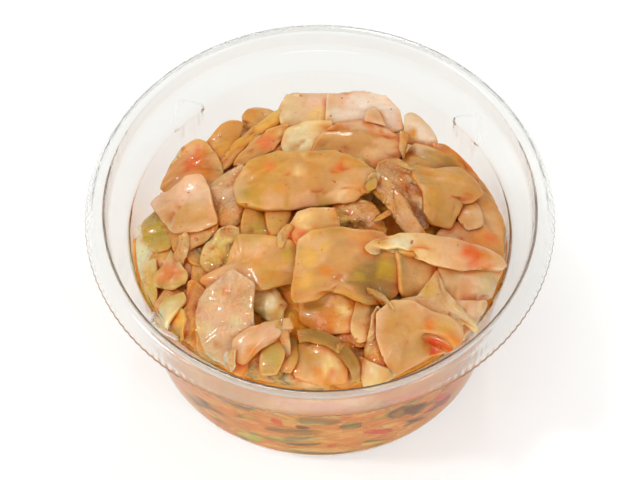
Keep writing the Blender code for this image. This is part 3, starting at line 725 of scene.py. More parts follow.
def kept_inside(point, spare):
    """The point squeezed inwards to where it is clear of the wall by the spare."""
    height = max(point.z, WALL - BITE + spare)
    free = food_radius(height) - spare - SQUEEZE
    radius = math.hypot(point.x, point.y)
    if radius <= free:
        return Vector((point.x, point.y, height))
    squeezed = free + SQUEEZE * (1.0 - math.exp((free - radius) / SQUEEZE))
    return Vector((point.x * squeezed / radius, point.y * squeezed / radius, height))


def outline_point(piece, seed, u, v):
    """Place in the flat sheet of the point (u, v), each from -1 to 1."""
    across = u * math.sqrt(1.0 - v * v / 2.0)
    up = v * math.sqrt(1.0 - u * u / 2.0)
    reach = math.hypot(across, up)
    angle = math.atan2(up, across)
    rough = noise.noise(Vector((math.cos(angle), math.sin(angle), seed)) * RAGGED_SCALE)
    reach *= 1.0 + piece.ragged * 2.0 * rough
    cosine, sine = math.cos(angle), math.sin(angle)
    p = piece.length / 2 * reach * math.copysign(abs(cosine) ** piece.square, cosine)
    q = piece.width / 2 * reach * math.copysign(abs(sine) ** piece.square, sine)
    if piece.arc:
        swing = p * piece.arc
        p, q = ((1.0 / piece.arc + q) * math.sin(swing),
                (1.0 / piece.arc + q) * math.cos(swing) - 1.0 / piece.arc)
    return Vector((p, q))


def inside(outline, x, y):
    """Whether a place is inside an outline."""
    odd = False
    for (x1, y1, *_), (x2, y2, *_) in zip(outline, outline[1:] + outline[:1]):
        if (y1 > y) != (y2 > y) and x < x1 + (y - y1) * (x2 - x1) / (y2 - y1):
            odd = not odd
    return odd


class Pile:
    """How high the food already lies, over a square grid in millimetres."""

    def __init__(self):
        span = range(-PILE_HALF, PILE_HALF + 1)
        self.heights = {(i, j): heap_height(i * PILE_STEP, j * PILE_STEP) - CORE_DEPTH
                        for i in span for j in span}

    def at(self, x, y):
        """Mean height of the pile round a point."""
        i, j = round(x / PILE_STEP), round(y / PILE_STEP)
        near = [self.heights[(i + right, j + up)] for right in (-1, 0, 1) for up in (-1, 0, 1)
                if (i + right, j + up) in self.heights]
        return sum(near) / len(near) if near else 0.0

    def lay(self, point):
        """Raises the pile to a point of a piece."""
        left, low = math.floor(point.x / PILE_STEP), math.floor(point.y / PILE_STEP)
        for key in ((left, low), (left + 1, low), (left, low + 1), (left + 1, low + 1)):
            if self.heights.get(key, math.inf) < point.z:
                self.heights[key] = point.z


def cut_corners(piece, seed, food):
    """The sheet's places at the corners of its coarse cells: its edge is cut straight between."""
    across, up = piece.cells
    unevenness = food.cut_unevenness * min(piece.length, piece.width)
    corners = []
    for i in range(across + 1):
        corners.append([])
        for j in range(up + 1):
            place = outline_point(piece, seed, 2.0 * i / across - 1.0, 2.0 * j / up - 1.0)
            if i in (0, across) or j in (0, up):
                slip = noise.noise_vector(Vector((i * 0.7, j * 0.7, seed + 11.0)))
                place += Vector((slip.x, slip.y)) * unevenness
            corners[i].append(place)
    return corners


def crumpled(piece, seed, p, q, reach, food, kind):
    """How far a sheet's wave, wrinkles and folds lift it at a place."""
    lift = noise.noise(Vector((p * WAVE_SCALE, q * WAVE_SCALE, seed * WAVE_SEED_SCALE)))
    height = piece.wave * 2.0 * lift * (WAVE_AT_MIDDLE + (1.0 - WAVE_AT_MIDDLE) * reach)
    wrinkle = clouds(Vector((p * WRINKLES_ALONG, q * WRINKLES_ACROSS, seed)))
    fold = noise.noise(Vector((p * FOLD_SCALE, q * FOLD_SCALE * 2.0, seed + FOLD_SEED)))
    height += food.wrinkle_depth / MM * wrinkle * (LEAST_CRUMPLED + piece.wave)
    return height - (food.fold_depth / MM * abs(fold) * (LEAST_CRUMPLED + piece.wave)
                     * kind.folded)


def nicked(place, rim, seed, food, kind):
    """A place of a flat sheet, with the small nicks that its edge has."""
    nick = noise.noise_vector(Vector((place.x * NICK_SCALE, place.y * NICK_SCALE, seed)))
    nick *= food.edge_roughness * rim ** 4 * kind.ragged
    return Vector((place.x + nick.x, place.y + nick.y))


def sheet_point(piece, corners, seed, u, v, food, kind):
    """Middle of the sheet at (u, v), each from -1 to 1, before the sheet is laid down."""
    across, up = piece.cells
    i = min(across - 1, int((u + 1.0) / 2.0 * across))
    j = min(up - 1, int((v + 1.0) / 2.0 * up))
    s = (u + 1.0) / 2.0 * across - i
    t = (v + 1.0) / 2.0 * up - j
    near = corners[i][j].lerp(corners[i + 1][j], s)
    far = corners[i][j + 1].lerp(corners[i + 1][j + 1], s)
    p, q = nicked(near.lerp(far, t), max(abs(u), abs(v)), seed, food, kind)
    reach = min(1.0, math.hypot(u, v))
    return Vector((p, q, crumpled(piece, seed, p, q, reach, food, kind)))


def seen_place(x, y, height, rise=0.0):
    """Where a place of an outline lies once it is at a height."""
    spare = height - heap_height(x, y) - READ_HEIGHT - rise
    return Vector((x, y - spare * LEAN, height))


def corner_heights(piece, pile):
    """Height of each corner of a piece's outline, resting on the pile if it has no rise."""
    heights = []
    for x, y, *rise in piece.outline:
        mean = heap_height(x, y) + READ_HEIGHT
        height = mean
        for _ in range(REST_PASSES):
            place = seen_place(x, y, height, sum(rise) * piece.stands)
            rest = pile.at(place.x, place.y) + EDGE_REST * piece.thick
            height = max(rest, mean + rise[0]) if rise else rest
        heights.append(height)
    return heights


class Rim:
    """The outline of a piece, run round by the rim of the square that its sheet starts as."""

    def __init__(self, piece, cells, heights):
        self.piece = piece
        middle = Vector((piece.x, piece.y))
        stops = []
        for (x, y, *rise), height in zip(piece.outline, heights):
            share = self.share((x - piece.x) * 2.0 / piece.length,
                               (y - piece.y) * 2.0 / piece.width)
            grown = middle + (Vector((x, y)) - middle) * GROWTH
            shown = sum(rise) * piece.stands
            stops.append((self.nearest(share, cells),
                          Vector((grown.x, grown.y, height, shown))))
        self.stops = sorted(stops, key=lambda stop: stop[0])
        self.middle = sum((stop[1] for stop in stops), Vector((0, 0, 0, 0))) / len(stops)

    def share(self, u, v):
        """How far round the square's rim the direction (u, v) is, from 0 to 1."""
        most = max(abs(u), abs(v), 1e-9)
        a, b = u / most, v / most
        length, width = self.piece.length, self.piece.width
        if b <= -1.0:
            run = (a + 1.0) / 2.0 * length
        elif a >= 1.0:
            run = length + (b + 1.0) / 2.0 * width
        elif b >= 1.0:
            run = length + width + (1.0 - a) / 2.0 * length
        else:
            run = 2.0 * length + width + (1.0 - b) / 2.0 * width
        return run / (2.0 * (length + width)) % 1.0

    def nearest(self, share, cells):
        """The rim share of the sheet's own corner that is nearest to a share."""
        places = []
        for count, flip in ((cells[0], False), (cells[1], True)):
            for index in range(count + 1):
                along = 2.0 * index / count - 1.0
                for end in (-1.0, 1.0):
                    places.append(self.share(*((end, along) if flip else (along, end))))
        return min(places, key=lambda place: abs(place - share))

    def at(self, u, v):
        """The rim in the direction (u, v): its place, its height and how high it is seen."""
        share = self.share(u, v)
        before = [stop for stop in self.stops if stop[0] <= share]
        after = [stop for stop in self.stops if stop[0] > share]
        first = before[-1] if before else (self.stops[-1][0] - 1.0, self.stops[-1][1])
        last = after[0] if after else (self.stops[0][0] + 1.0, self.stops[0][1])
        part = (share - first[0]) / max(last[0] - first[0], 1e-9)
        return first[1].lerp(last[1], part)


def cut_sheet_point(piece, rim, seed, u, v, food, kind):
    """Middle of a sheet with its own outline at (u, v), and how high it is seen."""
    reach = max(abs(u), abs(v))
    edge = rim.at(u, v)
    place = Vector((piece.x, piece.y)).lerp(Vector(edge[:2]), reach)
    p, q = nicked(place, reach, seed, food, kind)
    height, shown = Vector((rim.middle[2] + piece.lift, rim.middle[3])).lerp(
        Vector(edge[2:]), reach ** DOME_POWER)
    return Vector((p, q, height + crumpled(piece, seed, p, q, reach, food, kind), shown))


def laid_on_heap(piece):
    """Matrix that lays a flat sheet on the heap at the piece's place."""
    upright = heap_normal(piece.x, piece.y)
    place = Vector((piece.x, piece.y, heap_height(piece.x, piece.y) + piece.lift))
    lean = Vector((0.0, 0.0, 1.0)).rotation_difference(upright).to_matrix().to_4x4()
    turn = (Matrix.Rotation(math.radians(piece.yaw), 4, "Z")
            @ Matrix.Rotation(math.radians(piece.pitch), 4, "X")
            @ Matrix.Rotation(math.radians(piece.roll), 4, "Y"))
    return Matrix.Translation(place) @ lean @ turn


def piece_colour(piece, look, seed, point, place):
    """Colour of a piece at a point of it, before oil gathers in the gaps."""
    rim = max(abs(place[0]), abs(place[1]))
    offset = Vector((point.x - piece.x, point.y - piece.y))
    way = Vector((math.cos(math.radians(look.way)), math.sin(math.radians(look.way))))
    cloud = clouds(Vector((point.x, point.y, seed)) * BLEND_SCALE)
    along = offset.dot(way) / (BLEND_SHARE * (piece.length + piece.width)) + 0.5 * cloud
    colour = linear(look.tone).lerp(linear(look.far or look.tone), smooth(0.5 + along))
    stain = clouds(Vector((point.x, point.y, seed + STAIN_SEED)) * STAIN_SCALE, 4)
    mixed = 1.0 - look.plain
    colour = colour.lerp(linear("orange"), STAINED * mixed * smooth(stain * 2.2 - 0.2))
    wash = clouds(Vector((point.x, point.y, seed + WASH_SEED)) * WASH_SCALE)
    colour = colour.lerp(linear("pinkish"), WASHED * mixed * smooth(wash * 2.0))
    grain = clouds(Vector((place[0] * piece.length * GRAIN_ALONG,
                           place[1] * piece.width * GRAIN_ACROSS, seed)))
    colour = colour * (1.0 + GRAIN_DEPTH * grain)
    # A band along the rim takes the piece's edge colour. Where that colour is pale (cream, pale,
    # pink, white, clear) the band is a painted highlight along the bright cut edge; where it is
    # orange, amber, tan or green it is the edge's own stain.
    edging = noise.noise(Vector((point.x, point.y, seed + EDGING_SEED)) * 0.35) * 0.6
    colour = colour.lerp(linear(look.edge), EDGE_TINT_AND_HIGHLIGHT * smooth(rim * 4.0 - 3.2 + edging))
    for x, y, radius, name in look.spots:
        ragged = noise.noise(Vector((point.x, point.y, seed)) * SPOT_RAGGED) * 0.5
        away = math.hypot(point.x - x, point.y - y) / radius + ragged
        colour = colour.lerp(linear(name), smooth(2.2 - 1.5 * away))
    return colour


def piece_sheet(cells):
    """A flat closed sheet over the square from -1 to 1, one unit thick.

    Its outer cells are narrow, which keeps the cut edges crisp once they are smoothed.
    """
    sheet = bmesh.new()
    bmesh.ops.create_grid(sheet, x_segments=cells[0], y_segments=cells[1], size=1.0)
    for vertex in sheet.verts:
        for axis in (0, 1):
            cell = 2.0 / cells[axis]
            place = vertex.co[axis]
            if 1.0 - 1.5 * cell < abs(place) < 1.0 - 0.5 * cell:
                vertex.co[axis] = math.copysign(1.0 - NARROW_CELL * cell, place)
    crease = sheet.edges.layers.float.new("crease_edge")
    bmesh.ops.solidify(sheet, geom=sheet.faces[:], thickness=1.0)
    for edge in sheet.edges:
        flat = abs(edge.verts[0].co.z - edge.verts[1].co.z) < 0.5
        at_rim = all(max(abs(vertex.co.x), abs(vertex.co.y)) > 0.9999 for vertex in edge.verts)
        if flat and at_rim:
            edge[crease] = EDGE_CREASE
    return sheet


def middle_level(sheet):
    """The height half-way through a flat sheet."""
    levels = [vertex.co.z for vertex in sheet.verts]
    return (min(levels) + max(levels)) / 2


def place_on_sheet(vertex):
    """Place of a flat sheet's point, from -1 to 1 each way, and how near the rim it is."""
    u = max(-1.0, min(1.0, vertex.co.x))
    v = max(-1.0, min(1.0, vertex.co.y))
    return u, v, max(abs(u), abs(v))


def add_to(mesh, sheet):
    """Adds a bmesh to a mesh datablock's own faces."""
    if sheet.calc_volume(signed=True) < 0.0:
        bmesh.ops.reverse_faces(sheet, faces=sheet.faces)
    sheet.from_mesh(mesh)
    sheet.to_mesh(mesh)
    sheet.free()


def sags(bare, piece, food, kind, pile):
    """How far a piece sinks on to the pile, at a square of places over it.

    Where the pile is higher than the piece, the piece is lifted on to it instead.
    """
    found = []
    for i in range(SAG_CELLS + 1):
        found.append([])
        for j in range(SAG_CELLS + 1):
            u, v = 2.0 * i / SAG_CELLS - 1.0, 2.0 * j / SAG_CELLS - 1.0
            point = bare(u, v)
            if piece.outline:
                point = seen_place(*point)
            gap = point.z - UNDERSIDE * piece.thick - pile.at(point.x, point.y)
            if piece.outline:
                found[i].append(min(0.0, gap))
                continue
            rim = max(abs(u), abs(v))
            held = smooth((DEEP_GAP - gap) / GAP_SPAN)
            found[i].append(max(0.0, gap) * held * food.limpness * kind.limp * rim)
    return found


def sag_at(found, u, v):
    """The sag between the places where it was found."""
    across, up = (u + 1.0) / 2.0 * SAG_CELLS, (v + 1.0) / 2.0 * SAG_CELLS
    i, j = min(SAG_CELLS - 1, int(across)), min(SAG_CELLS - 1, int(up))
    s, t = smooth(across - i), smooth(up - j)
    near = found[i][j] * (1.0 - s) + found[i + 1][j] * s
    far = found[i][j + 1] * (1.0 - s) + found[i + 1][j + 1] * s
    return near * (1.0 - t) + far * t


def make_piece(mesh, piece, look, seed, food, pile):
    """Adds one piece as a thin closed solid with its colours to a mesh."""
    kind = KINDS[look.kind]
    cell = food.cell / MM
    cells = (max(5, round(piece.length / cell)), max(4, round(piece.width / cell)))
    if piece.outline:
        edge = Rim(piece, cells, corner_heights(piece, pile))

        def bare(u, v):
            return cut_sheet_point(piece, edge, seed, u, v, food, kind)
    else:
        lay = laid_on_heap(piece)
        corners = cut_corners(piece, seed, food)

        def bare(u, v):
            return lay @ sheet_point(piece, corners, seed, u, v, food, kind)

    found = sags(bare, piece, food, kind, pile)

    def surface(u, v):
        """Middle of the laid sheet at a place, with its sag."""
        point = bare(u, v)
        point.z -= sag_at(found, u, v)
        return seen_place(*point) if piece.outline else point

    sheet = piece_sheet(cells)
    tone = sheet.verts.layers.float_color.new("tone")
    lie_layer = sheet.verts.layers.float_vector.new("lie")
    thin_layer = sheet.verts.layers.float.new("thin")
    wet_layer = sheet.verts.layers.float.new("wet")
    middle = middle_level(sheet)
    for vertex in sheet.verts:
        u, v, rim = place_on_sheet(vertex)
        side = vertex.co.z - middle
        thin = piece.thick * (1.0 - EDGE_THINNING * rim ** EDGE_POWER - kind.thinner)
        centre = kept_inside(surface(u, v), thin / 2)
        inner_u, inner_v = u * TILT_FROM, v * TILT_FROM
        here = surface(inner_u, inner_v)
        along = surface(inner_u + TILT_STEP, inner_v) - here
        over = surface(inner_u, inner_v + TILT_STEP) - here
        upright = along.cross(over).normalized()
        if upright.z < 0.0:
            upright = -upright
        depth = thin * side if side > 0.0 else -UNDERSIDE * piece.thick
        point = kept_inside(centre + upright * depth, 0.0)
        painted = bare(u, v) if piece.outline else point
        vertex[tone] = (*piece_colour(piece, look, seed, painted, (u, v)), 1.0)
        vertex[thin_layer] = min(1.0, CLEAR_MIDDLE + kind.thinner + CLEAR_RIM * rim ** 3)
        vertex[wet_layer] = look.wet
        vertex[lie_layer] = Vector((u * piece.length / 2, v * piece.width / 2, seed)) * MM
        vertex.co = point * MM
        if side > 0.0:
            pile.lay(point)
    add_to(mesh, sheet)


def reach(azimuth):
    """How far out loose pieces lie: less far at the back, where the heap stops short."""
    back = max(0.0, math.sin(azimuth))
    return FILL_RADIUS + (BACK_REACH - FILL_RADIUS) * back ** BACK_POWER


def fill_pieces():
    """Plain pieces spread over the whole heap, low enough to lie under the named ones."""
    draw = random.Random(FILL_SEED)
    golden = math.pi * (3.0 - math.sqrt(5.0))
    for index in range(FILL_COUNT):
        azimuth = index * golden
        radius = reach(azimuth) * math.sqrt((index + 0.5) / FILL_COUNT)
        x, y = polar(radius, azimuth)
        piece = Piece(
            f"fill_{index}", x, y, draw.uniform(-1.6, -0.4), draw.uniform(11, 17),
            draw.uniform(7, 11), yaw=draw.uniform(0, 180), pitch=draw.uniform(-14, 14),
            roll=draw.uniform(-14, 14), thick=draw.uniform(1.8, 2.8), cells=(3, 2),
            wave=draw.uniform(0.6, 1.4))
        nearest = min(math.hypot(named.x - x, named.y - y) - named.length * 0.4
                      for named in PIECES)
        if nearest < COVERED:
            continue
        if nearest < UNDER_OTHERS:
            piece.lift -= FILL_SINK
        yield piece


def wall_pieces():
    """Plain pieces pressed flat against the cup; x is the azimuth and y the height."""
    draw = random.Random(WALL_SEED)
    for row, height in enumerate(WALL_ROWS):
        for index in range(WALL_PIECES_A_ROW):
            azimuth = (index + 0.5 * (row % 2)) * 360.0 / WALL_PIECES_A_ROW
            piece = Piece(
                f"wall_{row}_{index}", azimuth + draw.uniform(-8, 8),
                height + draw.uniform(-1.5, 1.5), 0.0, draw.uniform(12, 26),
                draw.uniform(1.6, 4.2), yaw=draw.uniform(-35, 35))
            edge = food_radius(height) * Vector((math.cos(math.radians(azimuth)),
                                                 math.sin(math.radians(azimuth))))
            if piece.y < heap_height(*edge) - WALL_PIECE_DEPTH:
                yield piece, Look("", draw.choice(WALL_TONES), draw.choice(WALL_TONES))


def make_wall_piece(mesh, piece, look, seed, inward, food):
    """Adds one piece pressed flat to the wall, a little inward, to a mesh."""
    cell = food.cell / MM
    cells = (max(6, round(piece.length / cell)), max(6, round(piece.width / cell)))
    corners = cut_corners(piece, seed, food)
    sheet = piece_sheet(cells)
    tone = sheet.verts.layers.float_color.new("tone")
    middle = middle_level(sheet)
    turn = Matrix.Rotation(math.radians(piece.yaw), 3, "Z")
    for vertex in sheet.verts:
        u, v, rim = place_on_sheet(vertex)
        outer = vertex.co.z > middle
        flat = turn @ sheet_point(piece, corners, seed, u, v, food, KINDS["leaves"])
        level = max(WALL, piece.y + flat.y)
        radius = food_radius(level) - inward - WALL_RIM_SINK * rim ** WALL_RIM_POWER
        if not outer:
            radius -= piece.thick * (1.0 - 0.5 * rim ** 2)
        azimuth = math.radians(piece.x) + flat.x / BASE_RADIUS
        point = Vector((*polar(radius, azimuth), level))
        cloud = clouds(Vector((flat.x * STREAK_ALONG, flat.y * STREAK_ACROSS, seed)))
        colour = linear(look.tone).lerp(linear(look.far), smooth(0.5 + 1.2 * cloud))
        colour = colour.lerp(linear(look.edge), WALL_EDGED * smooth(rim * 3.0 - 2.0))
        vertex[tone] = (*colour, 1.0)
        vertex.co = point * MM
    add_to(mesh, sheet)


def new_object(name, mesh):
    """An object that shows a mesh in the scene's collection."""
    thing = bpy.data.objects.new(name, mesh)
    bpy.context.scene.collection.objects.link(thing)
    return thing


def soften(thing):
    """Adds a Subdivision Surface modifier that is the same in the view and the render."""
    soft = thing.modifiers.new("soft", "SUBSURF")
    soft.levels = 1
    soft.render_levels = 1
    thing.data.shade_smooth()


def is_food(thing):
    """True for a piece that oil runs over."""
    return thing.type == "MESH" and "tone" in thing.data.attributes


# Materials

class Value:
    """A shader value.  Python arithmetic on it adds Math nodes."""

    def __init__(self, nodes, socket):
        self.nodes = nodes
        self.socket = socket

    def maths(self, operation, *values):
        """The result of a Math node on these values."""
        return self.nodes.add("ShaderNodeMath", {"operation": operation},
                              dict(enumerate(values)))

    def __add__(self, other):
        return self.maths("ADD", self, other)

    __radd__ = __add__

    def __sub__(self, other):
        return self.maths("SUBTRACT", self, other)

    def __rsub__(self, other):
        return self.maths("SUBTRACT", other, self)

    def __mul__(self, other):
        return self.maths("MULTIPLY", self, other)

    __rmul__ = __mul__

    def clamped(self):
        """The value held between 0 and 1."""
        node = self.maths("ADD", self, 0.0)
        node.socket.node.use_clamp = True
        return node


class Nodes:
    """The node tree of a new material."""

    def __init__(self, name):
        self.finish = bpy.data.materials.new(name)
        self.finish.use_nodes = True
        self.tree = self.finish.node_tree
        self.tree.nodes.clear()

    def add(self, kind, settings=None, sockets=None, output=0):
        """A node of a kind with its settings, and values or links on its sockets."""
        node = self.tree.nodes.new(kind)
        for name, setting in (settings or {}).items():
            if name == "stops":
                self.set_stops(node.color_ramp, setting)
            else:
                setattr(node, name, setting)
        for name, value in (sockets or {}).items():
            if isinstance(value, Value):
                self.tree.links.new(value.socket, node.inputs[name])
            else:
                node.inputs[name].default_value = value
        return Value(self, node.outputs[output])

    @staticmethod
    def set_stops(ramp, stops):
        """Gives a colour ramp its stops, each a place and a colour."""
        while len(ramp.elements) < len(stops):
            ramp.elements.new(1.0)
        for element, (place, colour) in zip(ramp.elements, stops):
            element.position = place
            element.color = colour

    def mixed(self, share, first, second, blend="MIX"):
        """Two colours mixed by a share."""
        node = self.tree.nodes.new("ShaderNodeMix")
        node.data_type = "RGBA"
        node.blend_type = blend
        for socket, value in ((node.inputs[0], share), (node.inputs[6], first),
                              (node.inputs[7], second)):
            if isinstance(value, Value):
                self.tree.links.new(value.socket, socket)
            else:
                socket.default_value = value
        return Value(self, node.outputs[2])

    def noise(self, scale, detail=3.0, roughness=0.5, stretch=(1.0, 1.0, 1.0)):
        """Noise over the object's own coordinates; scale is in features per metre."""
        place = self.add("ShaderNodeTexCoord", output="Object")
        lay = self.add("ShaderNodeMapping", {}, {"Vector": place, "Scale": stretch})
        return self.add("ShaderNodeTexNoise", {}, {
            "Vector": lay, "Scale": scale, "Detail": detail, "Roughness": roughness})

    def bump(self, height, distance):
        """A normal that stands for a height in metres."""
        return self.add("ShaderNodeBump", {}, {
            "Height": height, "Distance": distance, "Strength": 1.0})

    def show(self, shader):
        """Ends the tree with a shader and returns the material."""
        node = self.tree.nodes.new("ShaderNodeOutputMaterial")
        self.tree.links.new(shader.socket, node.inputs["Surface"])
        return self.finish

    def attribute(self, name, output):
        """What a mesh holds at each point under a name."""
        return self.add("ShaderNodeAttribute", {"attribute_name": name}, output=output)


def cabbage_material(name, food, bump_scale, bump_depth, shine=1.0):
    """Soft wet cabbage: light goes some way in, and the wettest parts are lumpy and shine."""
    nodes = Nodes(name)
    tone = nodes.attribute("tone", "Color")
    wet = nodes.attribute("wet", "Fac")
    lie = nodes.attribute("lie", "Vector")
    along = nodes.add("ShaderNodeMapping", {}, {"Vector": lie, "Scale": (0.16, 1.0, 1.0)})
    fibres = nodes.add("ShaderNodeTexNoise", {}, {
        "Vector": along, "Scale": 900.0, "Detail": 4.0, "Roughness": 0.6})
    specks = nodes.noise(900.0, 4.0, 0.6)
    tone = nodes.mixed((specks - 0.5) * 0.8, tone, paint("orange"), "MULTIPLY")
    tone = nodes.mixed((fibres - 0.5) * 1.1, tone, paint("yellow"))
    dots = nodes.noise(1100.0, 2.0, 0.5)
    tone = nodes.mixed(((dots - 0.69) * 9.0).clamped(), tone, paint("fleck"))
    film = nodes.noise(300.0, 3.0, 0.55)
    fine = nodes.noise(bump_scale, 3.0, 0.5)
    lumps = nodes.noise(bump_scale * 0.4, 2.0, 0.5)
    height = (lumps + fine * 0.5) * (wet + 0.15) + fibres * 0.12
    shader = nodes.add("ShaderNodeBsdfPrincipled", {}, {
        "Base Color": tone,
        "Roughness": (0.26 + film * 0.3 - wet * 0.25).clamped(),
        "Normal": nodes.bump(height, bump_depth),
        "IOR": 1.4,
        "Specular IOR Level": 0.5 * shine,
        "Subsurface Weight": food.softness,
        "Subsurface Radius": (1.0, 0.62, 0.38),
        "Subsurface Scale": food.light_depth,
        "Coat Weight": ((wet * 0.9 + 0.2) * food.oil_film * shine).clamped(),
        "Coat Roughness": 0.07,
        "Coat IOR": 1.45,
    })
    return nodes.show(shader)


def oil_material(food):
    """Orange oil with crumbs in it, streaked where the wall presses it flat."""
    nodes = Nodes("chili oil and crumbs")
    tone = nodes.attribute("tone", "Color")
    streaks = nodes.noise(110.0, 4.0, 0.6, (1.0, 1.0, 3.2))
    crumbs = nodes.noise(700.0, 3.0, 0.6, (1.0, 1.0, 1.6))
    tint = nodes.add("ShaderNodeValToRGB", {"stops": (
        (0.30, paint("oil")), (0.42, paint("orange")),
        (0.50, paint("wall_tan")), (0.58, paint("wall_pale")),
        (0.70, paint("orange")))}, {0: streaks})
    colour = nodes.mixed(0.7, tone, tint)
    colour = nodes.mixed((crumbs - 0.4) * 0.8, colour, paint("wall_pale"))
    shader = nodes.add("ShaderNodeBsdfPrincipled", {}, {
        "Base Color": colour,
        "Roughness": (0.12 + crumbs * 0.2).clamped(),
        "Normal": nodes.bump(crumbs + streaks, 0.0005),
        "IOR": 1.4,
        "Specular IOR Level": 0.1,
        "Subsurface Weight": food.softness,
        "Subsurface Radius": (1.0, 0.5, 0.3),
        "Subsurface Scale": food.light_depth,
    })
    return nodes.show(shader)


def flake_material():
    """Chili flakes: dark red skin, wet with oil."""
    nodes = Nodes("chili flake skin")
    patches = nodes.noise(1200.0, 3.0, 0.6)
    tint = nodes.add("ShaderNodeValToRGB", {"stops": (
        (0.3, (0.32, 0.03, 0.008, 1.0)), (0.55, (0.62, 0.10, 0.015, 1.0)),
        (0.75, (0.80, 0.26, 0.03, 1.0)))}, {0: patches})
    shader = nodes.add("ShaderNodeBsdfPrincipled", {}, {
        "Base Color": tint,
        "Roughness": (0.2 + patches * 0.2).clamped(),
        "Normal": nodes.bump(patches, 0.0002),
        "Coat Weight": 0.8,
        "Coat Roughness": 0.05,
    })
    return nodes.show(shader)


def clear_material(name, cup, ripples, detail, roughness, clearness):
    """Clear formed plastic that lets the lamps through to what is in it."""
    nodes = Nodes(name)
    ripple = nodes.noise(ripples, detail, 0.5)
    glassy = nodes.add("ShaderNodeBsdfPrincipled", {}, {
        "Base Color": (*cup.tint, 1.0),
        "Roughness": roughness,
        "IOR": cup.bending,
        "Transmission Weight": clearness,
        "Normal": nodes.bump(ripple, 0.0002),
    })
    through = nodes.add("ShaderNodeBsdfTransparent", {}, {"Color": (*cup.tint, 1.0)})
    lamp_ray = nodes.add("ShaderNodeLightPath", output="Is Shadow Ray")
    return nodes.show(nodes.add("ShaderNodeMixShader", {}, {0: lamp_ray, 1: glassy, 2: through}))


def plastic_material(cup):
    """The cup's smooth wall and base."""
    return clear_material("clear cup plastic", cup, 60.0, 2.0, cup.haze, 1.0)


def rim_material(cup):
    """The same plastic where it is ribbed and rolled, which scatters light a little."""
    return clear_material("ribbed cup plastic", cup, 220.0, 3.0, cup.rim_haze, 0.94)


def floor_material(stage):
    """A plain pale table top."""
    nodes = Nodes("pale table top")
    mottle = nodes.noise(6.0, 2.0, 0.5)
    colour = nodes.mixed(mottle * 0.2, (*stage.floor_colour, 1.0), (0.6, 0.6, 0.59, 1.0))
    shader = nodes.add("ShaderNodeBsdfPrincipled", {}, {
        "Base Color": colour, "Roughness": 0.9, "Specular IOR Level": 0.1,
        "Emission Color": (1.0, 1.0, 1.0, 1.0), "Emission Strength": stage.floor_glow})
    return nodes.show(shader)


# Settings

class CabbageCupSettings(bpy.types.PropertyGroup):
    """Sizes and finish of the cup."""

    wall: FloatProperty(
        name="Wall", description="Thickness of the formed sheet", default=WALL * MM,
        min=0.0001, unit="LENGTH", precision=4)
    segments: IntProperty(
        name="Segments", description="Segments round the cup", default=640, min=64)
    flutes: IntProperty(
        name="Flutes", description="Small flutes round the skirt", default=160, min=0)
    flute_depth: FloatProperty(
        name="Flute depth", description="Depth of the skirt's flutes", default=0.00016,
        min=0.0, unit="LENGTH", precision=5)
    tint: FloatVectorProperty(
        name="Tint", description="Colour of the clear plastic", subtype="COLOR", size=3,
        default=(0.90, 0.905, 0.885), min=0.0, max=1.0)
    bending: FloatProperty(
        name="Bending", description="How much the plastic bends light", default=1.36, min=1.0)
    rim_haze: FloatProperty(
        name="Rim haze", description="Roughness of the ribbed rim", default=0.14, min=0.0,
        max=1.0, subtype="FACTOR")
    haze: FloatProperty(
        name="Haze", description="Roughness of the plastic", default=0.0, min=0.0, max=1.0,
        subtype="FACTOR")


class CabbageFoodSettings(bpy.types.PropertyGroup):
    """Shape and finish of the cabbage pieces and the oil."""

    cell: FloatProperty(
        name="Cell", description="Size of a piece's faces before they are smoothed",
        default=0.0011, min=0.0004, unit="LENGTH", precision=4)
    limpness: FloatProperty(
        name="Limpness", description="Share of the way that edges sink on to what is under them",
        default=0.8, min=0.0, max=1.0, subtype="FACTOR")
    cut_unevenness: FloatProperty(
        name="Cut unevenness", description="How far cut corners stray, as a share of the width",
        default=0.16, min=0.0)
    edge_roughness: FloatProperty(
        name="Edge roughness", description="Depth in millimetres of the nicks in cut edges",
        default=0.5, min=0.0)
    wrinkle_depth: FloatProperty(
        name="Wrinkle depth", description="Depth of the wrinkles in the pieces",
        default=0.0003, min=0.0, unit="LENGTH", precision=5)
    fold_depth: FloatProperty(
        name="Fold depth", description="Depth of the folds in the pieces",
        default=0.0022, min=0.0, unit="LENGTH", precision=4)
    softness: FloatProperty(
        name="Softness", description="Share of light that spreads inside the pieces",
        default=0.75, min=0.0, max=1.0, subtype="FACTOR")
    light_depth: FloatProperty(
        name="Light depth", description="How far light spreads inside the pieces",
        default=0.0021, min=0.0, unit="LENGTH", precision=4)
    oil_film: FloatProperty(
        name="Oil film", description="Strength of the oil film on the pieces",
        default=0.6, min=0.0, max=1.0, subtype="FACTOR")
    # Strength of the oil tint and painted shade that darken the gaps between pieces.
    oil_and_shade_in_gaps: FloatProperty(
        name="Oil in gaps", description="How much oil darkens the gaps between pieces",
        default=1.0, min=0.0)
    gap_reach: FloatProperty(
        name="Gap reach", description="How far apart pieces hold oil between them",
        default=0.006, min=0.001, unit="LENGTH", precision=4)
    see_through: FloatProperty(
        name="See-through", description="How much thin edges take the colour of what is below",
        default=0.6, min=0.0, max=1.0, subtype="FACTOR")
    shreds: IntProperty(
        name="Shreds", description="Small wet shreds in the gaps between the pieces",
        default=170, min=0)
    flakes: IntProperty(
        name="Flakes", description="Chili flakes on the heap", default=8, min=0)
    drops: IntProperty(
        name="Drops", description="Oil drops on the heap", default=70, min=0)


